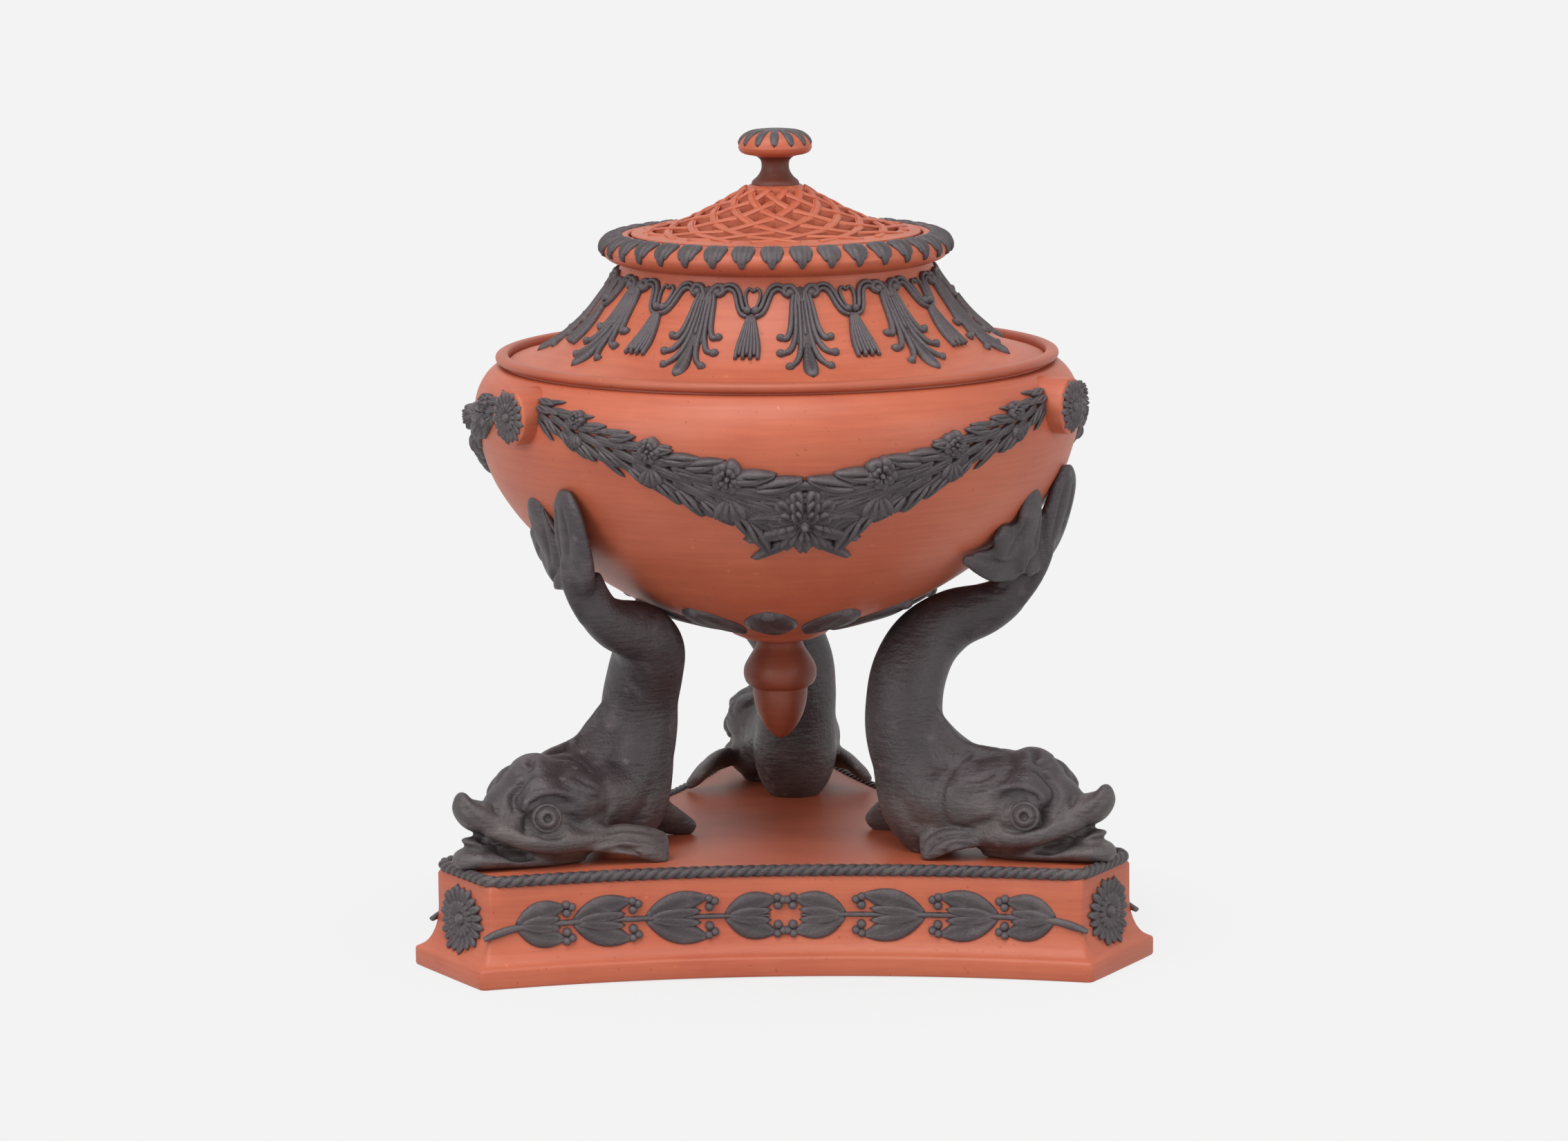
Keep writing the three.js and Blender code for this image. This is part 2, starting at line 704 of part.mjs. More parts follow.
// A garland hangs between two bosses, its middle facing +X before it is turned
function garlandBody() {
  const halfSpan = 60 - THREE.MathUtils.radToDeg((bossRadius + reliefGap) / bowlBellyRadius);
  const rings = [];
  for (let i = 0; i <= garlandSteps; i++) {
    const share = 2 * i / garlandSteps - 1;
    const [middle, width] = garlandAt(Math.abs(share));
    const half = width * (i % 2 ? 1.02 : 0.86);
    const crest = garlandRelief * (i % 2 ? 0.8 : 0.7);
    const section = [[-half, 0], [-half * 0.4, 0], [half * 0.4, 0], [half, 0], [half * 0.3, crest],
      [-half * 0.3, crest]];
    rings.push(section.map(([up, lift]) => {
      const along = Math.min(middle + up, bowlSurface.length);
      return bowlSurface.point(halfSpan * share, along, garlandGap + lift);
    }));
  }
  const raised = {
    point: (degrees, along, lift) => bowlSurface.point(degrees, along, lift + garlandGap - reliefGap),
    shift: bowlSurface.shift,
  };
  const [heartAlong, heartWidth] = garlandAt(0);
  const heartPlace = [0, heartAlong + garlandHeartUp * heartWidth];
  const heartRadius = garlandHeartSize * heartWidth;
  const parts = [skinned(rings)];
  parts.push(rosette(raised, heartPlace, garlandHeartPetals, heartRadius, garlandFlowerRise));
  for (const hand of [-1, 1]) {
    for (const [degrees, up, turn] of garlandLeaves) {
      const [along, half] = garlandAt(degrees / halfSpan);
      const span = Math.min(degrees, garlandLeafSpan);
      const [inner] = garlandAt((degrees - span) / halfSpan);
      const size = THREE.MathUtils.lerp(garlandLeafLeast, 1, half / garlandHalfWidth);
      const run = THREE.MathUtils.degToRad(span) * bowlBellyRadius;
      const slope = THREE.MathUtils.radToDeg(Math.atan2(along - inner, run));
      parts.push(leaf(raised, [hand * degrees, along + up * half], -hand * (90 + slope - turn),
        garlandLeafLength * size, garlandLeafWidth * size, garlandLeafRise * size, hand * turn / 2));
    }
    for (const degrees of garlandFlowers) {
      const [along, half] = garlandAt(degrees / halfSpan);
      const radius = garlandFlowerSize * half;
      const flower = [hand * degrees, along + garlandFlowerUp * half];
      const lobe = [hand * degrees, along + garlandLobeUp * half];
      parts.push(rosette(raised, flower, garlandFlowerPetals, radius, garlandFlowerRise));
      parts.push(leaf(raised, lobe, 180, garlandLobeLength * half, 2 * radius, garlandFlowerRise));
    }
  }
  return join(parts);
}

const throatRadius = coverNeckRadius - throatInset;
const lidRecessRadius = collarRadius - collarRimWidth;

// Cover, with every height measured from its seat
const coverEdgeRadius = ringInnerRadius - lidClearance;
const coverOuter = curve([
  [coverEdgeRadius, coverEdge],
  [coverNeckRadius + 12, 4.3],
  [coverNeckRadius + 5.8, 9.3],
  [coverNeckRadius, coverHeight],
], 6);
const collarOuter = curve([
  [coverNeckRadius, coverHeight],
  [collarRadius - 0.4, coverHeight + collarHeight * 0.33],
  [collarRadius, coverHeight + collarHeight * 0.54],
  [collarRadius - 2.2, coverHeight + collarHeight * 0.9],
  [lidRecessRadius + 1, coverHeight + collarHeight],
], 6);
const coverSurface = turnedSurface(coverOuter);
const collarSurface = turnedSurface(collarOuter);
const collarTop = coverHeight + collarHeight;
const lidSeatHeight = collarTop - lidRecessDepth;

function makeCover() {
  const flangeOuter = mouthRadius - lidClearance;
  const flangeInner = flangeOuter - flangeWall;
  const underside = offsetProfile(coverOuter, -coverWall).filter(([radius, height]) => {
    return radius < flangeInner && radius > throatRadius && height > 0;
  });
  return piece('cover', turned([
    [flangeOuter, 0],
    [coverEdgeRadius, 0],
    ...coverOuter,
    ...collarOuter.slice(1),
    [lidRecessRadius, collarTop],
    [lidRecessRadius, lidSeatHeight],
    [throatRadius, lidSeatHeight],
    ...underside.reverse(),
    [flangeInner, 0],
    [flangeInner, -flangeLength],
    [flangeOuter, -flangeLength],
    [flangeOuter, 0],
  ]), redware);
}

// A palmette runs down the cover, along +X before it is turned
function anthemionBody() {
  const top = coverSurface.length - anthemionTopMargin;
  const root = coverSurface.length * 0.66;
  const reach = coverSurface.length * 0.5;
  const heart = [0, root + anthemionLap / 2];
  const parts = [leaf(coverSurface, [0, root + anthemionLap], 180, reach + anthemionLap, anthemionWidth,
    anthemionRise)];
  parts.push(leaf(coverSurface, [0, root - anthemionLap / 2], 0, top - root + anthemionLap / 2,
    anthemionWidth * 0.88, anthemionRise));
  for (const hand of [-1, 1]) {
    parts.push(leaf(coverSurface, heart, hand * 158, reach * 0.82, anthemionWidth * 0.76, anthemionRise,
      -hand * 22));
    parts.push(leaf(coverSurface, heart, hand * 128, reach * 0.6, anthemionWidth * 0.7, anthemionRise,
      -hand * 30));
  }
  return join(parts);
}

// A tassel hangs between two palmettes from a pair of short festoons
function tasselBody() {
  const top = coverSurface.length * 0.84;
  const reach = coverSurface.length * 0.36;
  const parts = [leaf(coverSurface, [0, top + anthemionLap / 2], 180, reach, tasselWidth, anthemionRise)];
  for (const hand of [-1, 1]) {
    parts.push(leaf(coverSurface, [-hand * 0.5, top], hand * 98, festoonLength, festoonWidth, anthemionRise,
      -hand * 40));
  }
  return join(parts);
}

function makeBorder() {
  const alongCollar = (share) => collarSurface.alongAt(1, coverHeight + collarHeight * share);
  const [start, notch, middle] = [0.52, 0.8, 0.85].map(alongCollar);
  const end = collarSurface.length - 0.4;
  const rings = [];
  for (let i = 0; i < 2 * borderLeaves; i++) {
    const angle = -92.2 + 180 * i / borderLeaves;
    const foot = i % 2 ? notch : start;
    const section = [[foot, 0], [middle, 0], [end, 0], [middle, borderRise], [foot, borderRise * 0.6]];
    rings.push(section.map(([along, lift]) => collarSurface.point(angle, along, reliefGap + lift)));
  }
  return piece('leaf_border', skinned(rings, true), basalt);
}

// Pierced lid, with every height measured from its seat
const lidRadius = lidRecessRadius - lidClearance;
const lidOuter = curve([
  [lidRadius - 0.4, lidEdge + 0.2],
  [lidRadius * 0.67, 4.1],
  [lidRadius * 0.48, 6.3],
  [knobSeatRadius, lidRise],
], 3);

const latticeOuterRadius = throatRadius - latticeRim;
const latticePitch = (latticeOuterRadius - latticeInnerNode) / (latticeRows - 0.38);

// A node of the lattice: its row out from the knob and its place round the lid in half pitches
function latticeNode(row, place) {
  const radius = latticeInnerNode + latticePitch * row;
  const angle = THREE.MathUtils.degToRad(latticeTurn + 180 * place / latticeCount);
  return new THREE.Vector2(radius * Math.cos(angle), radius * Math.sin(angle));
}

// The corners of one opening, cut short at the knob and at the rim and drawn in by half a strap
function latticeCell(row, place) {
  const limited = (from, to, limit) => {
    const share = (limit - from.length()) / (to.length() - from.length());
    return from.clone().lerp(to, share);
  };
  const left = latticeNode(row, place - 1);
  const right = latticeNode(row, place + 1);
  const inner = latticeNode(row - 1, place);
  const outer = latticeNode(row + 1, place);
  const cell = [left];
  if (inner.length() < latticeInnerRadius) {
    cell.push(limited(left, inner, latticeInnerRadius), limited(right, inner, latticeInnerRadius));
  } else {
    cell.push(inner);
  }
  cell.push(right);
  if (outer.length() > latticeOuterRadius) {
    cell.push(limited(right, outer, latticeOuterRadius), limited(left, outer, latticeOuterRadius));
  } else {
    cell.push(outer);
  }
  return cell.map((point, i) => {
    const before = point.clone().sub(cell.at(i - 1)).normalize();
    const after = cell[(i + 1) % cell.length].clone().sub(point).normalize();
    const inward = new THREE.Vector2(before.y + after.y, -before.x - after.x);
    return point.clone().addScaledVector(inward, latticeStrap / 2 / (1 + before.dot(after)));
  });
}

function makeLid() {
  const flangeOuter = throatRadius - lidClearance;
  const flangeInner = flangeOuter - lidFlangeWall;
  const underside = offsetProfile([lidOuter[0], lidOuter[2], lidOuter[3]], -lidThickness).slice(1);
  let body = turned([
    [0, lidRise],
    ...lidOuter.toReversed(),
    [lidRadius, lidEdge - 0.3],
    [lidRadius, 0],
    [flangeOuter, 0],
    [flangeOuter, -lidFlangeLength],
    [flangeInner, -lidFlangeLength],
    [flangeInner, 0],
    ...underside,
    [0, underside.at(-1)[1] + 0.5],
  ], 2 * latticeCount, latticeTurn + 90);
  for (let row = 0; row < latticeRows; row++) {
    for (let i = 0; i < latticeCount; i++) {
      const shape = new THREE.Shape(latticeCell(row, 2 * i + (row % 2)));
      const cutter = new THREE.ExtrudeGeometry(shape, { depth: 2 * lidRise, bevelEnabled: false });
      body = body.subtract(solid(cutter.translate(0, 0, -lidRise / 2)));
    }
  }
  return piece('pierced_lid', body, redware);
}

const knobDome = curve([
  [knobRadius, knobHeight - 2.4],
  [knobRadius * 0.9, knobHeight - 1.2],
  [knobRadius * 0.5, knobHeight - 0.3],
  [0, knobHeight],
], 6);

function makeKnob() {
  return piece('knob', turned([
    [0, 0],
    [knobSeatRadius - 0.3, 0],
    ...curve([[knobSeatRadius - 0.4, 0.5], [knobStemRadius, 3.3], [knobStemRadius + 0.6, 4.5]], 4),
    [knobRadius * 0.88, knobHeight - 3.5],
    ...knobDome,
  ], 18), darkRedware);
}

function makeKnobLeaves() {
  const surface = turnedSurface(knobDome);
  const top = surface.length;
  const button = [];
  for (const [inward, lift] of [[knobButtonRadius, 0], [knobButtonRadius, 0.35], [0, 0.45], [0, 0]]) {
    const point = surface.point(0, top - inward, reliefGap + lift);
    button.push([inward ? point.x : 0, point.z]);
  }
  const parts = [turned([[0, button.at(-1)[1]], ...button.slice(0, 3)], knobLeaves)];
  for (let i = 0; i < knobLeaves; i++) {
    const angle = -92 + 360 * i / knobLeaves;
    parts.push(leaf(surface, [angle, top - 0.9], 180, knobLeafLength, knobLeafWidth, 0.7));
  }
  return piece('knob_leaves', join(parts), basalt);
}

// Copies of one solid, turned round the axis
function ringOf(prefix, body, material, places) {
  return places.map(([suffix, degrees]) => {
    const mesh = piece(`${prefix}_${suffix}`, body, material);
    mesh.rotation.z = THREE.MathUtils.degToRad(degrees);
    return mesh;
  });
}

const frieze = (turn) => Array.from({ length: friezeCount }, (_, i) => {
  return [i + 1, friezeTurn + 360 * (i + turn) / friezeCount];
});
const bossPlaces = corners.map(([name, angle]) => [name, angle + bossTurn]);
const garlandPlaces = sides.map(([name, angle]) => [name, angle + bossTurn]);

const stand = new THREE.Group();
stand.add(makePlinth(), makeRope());
const cornerRosette = rosette(cornerFlat, [0, cornerRosetteHeight], 14, cornerRosetteRadius, 1.1);
stand.add(...ringOf('corner_rosette', cornerRosette, basalt, corners));
for (const [name, angle] of sides) {
  const sprays = new THREE.Group();
  sprays.rotation.z = THREE.MathUtils.degToRad(angle + 90);
  sprays.add(makeLaurel(`laurel_${name}_west`, -1), makeLaurel(`laurel_${name}_east`, 1));
  stand.add(sprays);
}

const dolphins = new THREE.Group();
dolphins.position.z = plinthHeight;
dolphins.add(...ringOf('dolphin', dolphinBody(), basalt, corners));

const bowl = new THREE.Group();
bowl.position.z = plinthHeight + bowlFootLift;
bowl.add(makeBowl(), makeAcorn(), makeCalyx());
bowl.add(...ringOf('boss', bossBody(), redware, bossPlaces));
const bossRosette = rosette(bossFace, [0, 0], 12, bossRosetteRadius, 0.9);
bowl.add(...ringOf('boss_rosette', bossRosette, basalt, bossPlaces));
bowl.add(...ringOf('garland', garlandBody(), basalt, garlandPlaces));

const cover = new THREE.Group();
cover.position.z = seatHeight;
cover.add(makeCover(), makeBorder());
cover.add(...ringOf('anthemion', anthemionBody(), basalt, frieze(0)));
cover.add(...ringOf('tassel', tasselBody(), basalt, frieze(0.5)));

const lid = new THREE.Group();
lid.position.z = lidSeatHeight;
lid.add(makeLid());

const knob = new THREE.Group();
knob.position.z = lidRise;
knob.add(makeKnob(), makeKnobLeaves());

lid.add(knob);
cover.add(lid);
bowl.add(cover);

// The origin is under the middle of the whole, which reaches from the bowl's belly to the rear corner
const group = new THREE.Group();
const whole = new THREE.Group();
whole.position.y = (bowlBellyRadius - plinthCornerReach) / 2;
whole.add(stand, dolphins, bowl);
group.add(whole);

export default group;
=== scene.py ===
"""Pastille burner in red stoneware and black basalt: the pieces of the burner, their finishes and its studio.

Shapes are worked out in millimetres about the burner's upright axis, and put in the frame in metres at the end.
"""
import math

import bmesh
import bpy
import numpy as np
from mathutils import Matrix, Vector


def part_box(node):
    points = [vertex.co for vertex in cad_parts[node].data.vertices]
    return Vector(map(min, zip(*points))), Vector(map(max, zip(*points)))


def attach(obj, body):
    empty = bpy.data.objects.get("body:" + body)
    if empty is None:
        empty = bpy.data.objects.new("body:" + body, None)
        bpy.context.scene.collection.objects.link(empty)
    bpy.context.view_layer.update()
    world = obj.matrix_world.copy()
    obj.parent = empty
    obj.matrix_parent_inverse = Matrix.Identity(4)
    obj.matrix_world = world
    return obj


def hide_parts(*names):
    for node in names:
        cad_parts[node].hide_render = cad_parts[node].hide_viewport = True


bl_info = {
    "name": "Pastille burner",
    "version": (1, 0, 0),
    "blender": (4, 5, 0),
    "location": "3D View > Sidebar > Burner",
    "description": "Builds a dolphin-footed pastille burner in red stoneware and black basalt",
    "category": "Object",
}

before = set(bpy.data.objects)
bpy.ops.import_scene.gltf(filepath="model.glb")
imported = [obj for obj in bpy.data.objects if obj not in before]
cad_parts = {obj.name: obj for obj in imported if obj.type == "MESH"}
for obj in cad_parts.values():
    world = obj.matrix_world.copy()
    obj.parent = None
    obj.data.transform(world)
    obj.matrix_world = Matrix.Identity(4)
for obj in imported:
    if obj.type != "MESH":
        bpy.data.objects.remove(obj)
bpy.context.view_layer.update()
MM = 0.001
BOWL_LOW, BOWL_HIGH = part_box("bowl")
AXIS = Vector(((BOWL_LOW.x + BOWL_HIGH.x) / 2, (BOWL_LOW.y + BOWL_HIGH.y) / 2, 0))
CORNERS = {"left": -150, "right": -30, "rear": 90}
SIDES = {"front": -90, "right": 30, "left": 150}
TO_FRAME = Matrix.Translation(AXIS) @ Matrix.Diagonal((MM, MM, MM, 1))
ASIDE, UP = (0, 1, 0), (0, 0, 1)
# Bosses: turn past the corners in degrees, height above the table and distance of their middle from the axis
BOSS_TURN, BOSS_HEIGHT, BOSS_OUT = 4, 99, 54.1
# How many times each relief is repeated round the burner
CALYX_LEAVES, BORDER_LEAVES, KNOB_LEAVES, FRIEZE_REPEATS, LATTICE_SPIRALS = 12, 37, 13, 11, 12


# --- Small tools -------------------------------------------------------------------------------------------------


def linear(code):
    """Linear red, green and blue from an sRGB hex value such as #B85C40."""
    channels = [int(code[i:i + 2], 16) / 255 for i in (1, 3, 5)]
    return [c / 12.92 if c <= 0.04045 else ((c + 0.055) / 1.055) ** 2.4 for c in channels]


def smooth(rows, steps):
    """Rows of a smooth curve through a few rows of numbers, with a few steps between each two."""
    rows = np.array(rows, float)
    spans = np.sqrt(np.linalg.norm(np.diff(rows, axis=0), axis=1))[:, None]
    slopes = np.diff(rows, axis=0) / spans
    inner = (slopes[:-1] * spans[1:] + slopes[1:] * spans[:-1]) / (spans[1:] + spans[:-1])
    tangents = np.vstack([slopes[:1], inner, slopes[-1:]])
    t = np.linspace(0, 1, steps, endpoint=False)[:, None]
    line = []
    for i, span in enumerate(spans):
        line.append((2 * t**3 - 3 * t**2 + 1) * rows[i] + (t**3 - 2 * t**2 + t) * span * tangents[i]
                    + (3 * t**2 - 2 * t**3) * rows[i + 1] + (t**3 - t**2) * span * tangents[i + 1])
    return np.vstack([*line, rows[-1:]])


def spun(profile, steps=180):
    """A turned shape from its (radius, height) profile."""
    bm = bmesh.new()
    verts = [bm.verts.new((radius, 0, height)) for radius, height in profile]
    edges = [bm.edges.new(pair) for pair in zip(verts, verts[1:])]
    bmesh.ops.spin(bm, geom=verts + edges, cent=(0, 0, 0), axis=UP, angle=2 * math.pi, steps=steps,
                   use_merge=True)
    bmesh.ops.remove_doubles(bm, verts=bm.verts, dist=1e-4)
    bmesh.ops.recalc_face_normals(bm, faces=bm.faces)
    return bm


def skinned(bm, rings, endless=False):
    """A skin over rings of points: a circle is extruded from ring to ring, and its ends are capped."""
    count = len(rings[0])
    loop = bmesh.ops.create_circle(bm, segments=count, radius=1)["verts"]
    edges = list({e for v in loop for e in v.link_edges})
    first = loop
    for v, place in zip(loop, rings[0]):
        v.co = place
    for ring in rings[1:]:
        made = bmesh.ops.extrude_edge_only(bm, edges=edges)["geom"]
        order = {v: i for i, v in enumerate(loop)}
        fresh = [None] * count
        for v in (g for g in made if isinstance(g, bmesh.types.BMVert)):
            old = next(e.other_vert(v) for e in v.link_edges if e.other_vert(v) in order)
            fresh[order[old]] = v
        edges = [g for g in made if isinstance(g, bmesh.types.BMEdge) and all(v not in order for v in g.verts)]
        loop = fresh
        for v, place in zip(loop, ring):
            v.co = place
    if endless:
        ends = set(first + loop)
        bmesh.ops.bridge_loops(bm, edges=[e for e in bm.edges if e.is_boundary and any(v in ends for v in e.verts)])
        return
    for rim in (first, loop):
        cap = bmesh.ops.contextual_create(bm, geom=list(rim) + [bm.edges.get(pair) for pair in
                                                                zip(rim, rim[1:] + rim[:1])])["faces"]
        bmesh.ops.poke(bm, faces=cap)


def limb(bm, rows, normal=UP, count=18, steps=5):
    """A rounded limb through (x, y, z, half width, half depth) rows; its depth lies along the normal."""
    line = smooth(rows, steps)
    centres = line[:, :3]
    tangents = np.gradient(centres, axis=0)
    rings = []
    for centre, tangent, (wide, deep) in zip(centres, tangents, np.maximum(line[:, 3:5], 0.05)):
        along = Vector(tangent).normalized()
        aside = along.cross(Vector(normal)).normalized()
        out = aside.cross(along)
        angles = [2 * math.pi * i / count for i in range(count)]
        rings.append([Vector(centre) + aside * wide * math.sin(a) + out * deep * math.cos(a) for a in angles])
    skinned(bm, rings)


def ball(bm, centre, radii):
    """An ellipsoid."""
    place = Matrix.Translation(centre) @ Matrix.Diagonal((*radii, 1))
    bmesh.ops.create_uvsphere(bm, u_segments=20, v_segments=14, radius=1, matrix=place)


def mesh_of(bm, name):
    """A mesh from a bmesh, which is freed."""
    mesh = bpy.data.meshes.new(name)
    bm.to_mesh(mesh)
    bm.free()
    return mesh


def placed(name, data):
    """An object in the scene that holds a mesh, a lamp or a camera."""
    made = bpy.data.objects.new(name, data)
    bpy.context.scene.collection.objects.link(made)
    return made


def joined(bm, part):
    """Adds a finished part to a mesh."""
    mesh = mesh_of(part, "part")
    bm.from_mesh(mesh)
    bpy.data.meshes.remove(mesh)


def smoothed(bm, factor):
    """Smooths a whole mesh once."""
    bmesh.ops.smooth_vert(bm, verts=bm.verts, factor=factor, use_axis_x=True, use_axis_y=True, use_axis_z=True)


def sprig(bm, segments, rings, shape):
    """Adds a sphere whose points a function moves from their places on the unit sphere."""
    part = bmesh.new()
    verts = bmesh.ops.create_uvsphere(part, u_segments=segments, v_segments=rings, radius=1)["verts"]
    for v, place in zip(verts, shape(*np.array([v.co for v in verts]).T)):
        v.co = place
    joined(bm, part)


def leaf(bm, put, length, width, rise, heading=0, bend=0, start=(0, 0), fullest=0.45, blunt=0.7, vein=0.3,
         sink=0.4, tip_lift=0.0, segments=14, rings=10):
    """A raised leaf or petal: a sphere drawn out along a bent line on a surface, with a sunk middle vein."""
    def shape(x, y, z):
        share = np.arccos(np.clip(-z, -1, 1)) / np.pi
        around = np.arctan2(y, x)
        full = np.sin(np.pi * share ** (math.log(0.5) / math.log(fullest))).clip(0) ** blunt
        full[(share < 0.001) | (share > 0.999)] = 0
        aside = -width / 2 * full * np.cos(around)
        dome = np.sin(around)
        over = rise * full**0.6 * dome - vein * rise * full * np.exp(-((np.cos(around) / 0.22) ** 2)) \
            + tip_lift * share**2 * np.minimum(1, 3 * full)
        chord, turn = np.radians(heading + bend * share / 2), np.radians(heading + bend * share)
        return put(start[0] + np.sin(chord) * length * share + aside * np.cos(turn),
                   start[1] + np.cos(chord) * length * share - aside * np.sin(turn),
                   np.where(dome > 0, over, sink * dome))
    sprig(bm, segments, rings, shape)


def bead(bm, put, x, y, radius, rise):
    """A round berry or button on a surface."""
    sprig(bm, 10, 6, lambda i, j, k: put(x + i * radius, y + j * radius, k * rise))


def band(bm, put, rows, rise, steps, count=10):
    """A rounded band on a surface, through (aside, up, width) rows."""
    line = smooth(rows, steps)
    run = np.gradient(line[:, :2], axis=0)
    run /= np.linalg.norm(run, axis=1)[:, None]
    turn = np.arange(count) * 2 * np.pi / count
    lift = np.where(np.sin(turn) > 0, rise, 0.4) * np.sin(turn)
    rings = [[Vector(p) for p in put(x + dy * width / 2 * np.cos(turn), y - dx * width / 2 * np.cos(turn), lift)]
             for (x, y, width), (dx, dy) in zip(line, run)]
    part = bmesh.new()
    skinned(part, rings)
    joined(bm, part)


def daisy(bm, put, radius, petals, rise, twist=12):
    """A daisy: a ring of long petals, a ring of short ones and a raised heart."""
    for i in range(petals):
        reach = radius * (0.86 if i % 2 else 0.8)
        leaf(bm, put, reach, radius * 5.4 / petals, rise, heading=360 * i / petals, bend=twist,
             start=polar(0.14 * radius, 360 * i / petals), fullest=0.66, blunt=0.8, vein=0.35, tip_lift=0.25 * rise)
    for i in range(petals - 3):
        turn = 360 * (i + 0.5) / (petals - 3)
        leaf(bm, put, radius * 0.5, radius * 0.22, rise * 1.35, heading=turn, bend=twist,
             start=polar(0.08 * radius, turn), fullest=0.62, vein=0.2)
    bead(bm, put, 0, 0, radius * 0.2, rise * 1.7)


def polar(radius, degrees):
    """A flat point at a distance and a heading from straight up."""
    return radius * math.sin(math.radians(degrees)), radius * math.cos(math.radians(degrees))


class TurnedSurface:
    """A turned surface that reliefs are laid on, measured in millimetres along its profile."""

    def __init__(self, profile):
        self.line = np.array(profile, float)
        self.along = np.concatenate([[0], np.cumsum(np.linalg.norm(np.diff(self.line, axis=0), axis=1))])
        run = np.gradient(self.line, axis=0)
        run /= np.linalg.norm(run, axis=1)[:, None]
        self.out = np.stack([run[:, 1], -run[:, 0]], axis=1)

    def at_height(self, height):
        """How far along the profile a height is met, from below."""
        return float(np.interp(height, self.line[:, 1], self.along))

    def put(self, degrees, along, lift):
        """Points at angles, distances along the profile and heights above it."""
        radius, height = (np.interp(along, self.along, self.line[:, k]) for k in (0, 1))
        radius = radius + lift * np.interp(along, self.along, self.out[:, 0])
        height = height + lift * np.interp(along, self.along, self.out[:, 1])
        a = np.radians(degrees)
        return np.stack([radius * np.cos(a), radius * np.sin(a), height], axis=-1)

    def patch(self, degrees, along):
        """Places flat millimetres (aside, up, lift) round a point of the surface; aside runs to the right."""
        def place(x, y, lift):
            radius = np.interp(along + y, self.along, self.line[:, 0])
            return self.put(degrees + np.degrees(x / radius), along + y, lift)
        return place


def turned(point, degrees):
    """A point turned round the axis."""
    return Matrix.Rotation(math.radians(degrees), 3, "Z") @ Vector(point)


def finished(bm, name, body, nodes, slot="basalt", material=None, sharp=None, turn=0, recalculate=True):
    """Makes a piece of the burner from a mesh in millimetres, on its body and in place of its CAD nodes."""
    if recalculate:
        bmesh.ops.recalc_face_normals(bm, faces=bm.faces)
    for face in bm.faces:
        face.smooth = True
    bmesh.ops.transform(bm, verts=bm.verts, matrix=TO_FRAME @ Matrix.Rotation(math.radians(turn), 4, "Z"))
    mesh = mesh_of(bm, name)
    if sharp:
        mesh.set_sharp_from_angle(angle=math.radians(sharp))
    mesh.materials.append(material or (basalt() if slot == "basalt" else red_stoneware()))
    piece = placed(name, mesh)
    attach(piece, body)
    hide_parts(*nodes)
    return piece


# --- Finishes ----------------------------------------------------------------------------------------------------


def node(tree, kind, inputs=None, output=0, stops=(), **settings):
    """Adds a node with its settings and colour stops, and its sockets set or linked; gives one of its outputs."""
    made = tree.nodes.new(kind)
    for key, value in settings.items():
        setattr(made, key, value)
    for socket, value in (inputs or {}).items():
        if isinstance(value, bpy.types.NodeSocket):
            tree.links.new(value, made.inputs[socket])
        else:
            made.inputs[socket].default_value = value
    if stops:
        elements = made.color_ramp.elements
        while len(elements) < len(stops):
            elements.new(1)
        for element, (place, colour) in zip(elements, stops):
            element.position, element.color = place, (*colour, 1)
    return made.outputs[output]


def grey(value):
    """A grey stop."""
    return (value, value, value)


def shaded(colour, factor):
    """A colour made darker or lighter."""
    return [min(1, c * factor) for c in colour]


def grain(vector, size_mm, detail=3.0, roughness=0.55):
    """Inputs of noise whose features are about as large as a real size."""
    return {"Vector": vector, "Scale": 1000 / size_mm, "Detail": detail, "Roughness": roughness}


def new_material(name, roughness):
    """A material with a Principled shader, and its tree, shader and object coordinates if it is new."""
    material = bpy.data.materials.get(name)
    if material:
        return material, None, None, None
    material = bpy.data.materials.new(name)
    material.use_nodes = True
    tree = material.node_tree
    shader = tree.nodes["Principled BSDF"]
    shader.inputs["Roughness"].default_value = roughness
    shader.inputs["IOR"].default_value = 1.5
    return material, tree, shader, node(tree, "ShaderNodeTexCoord", output="Object")


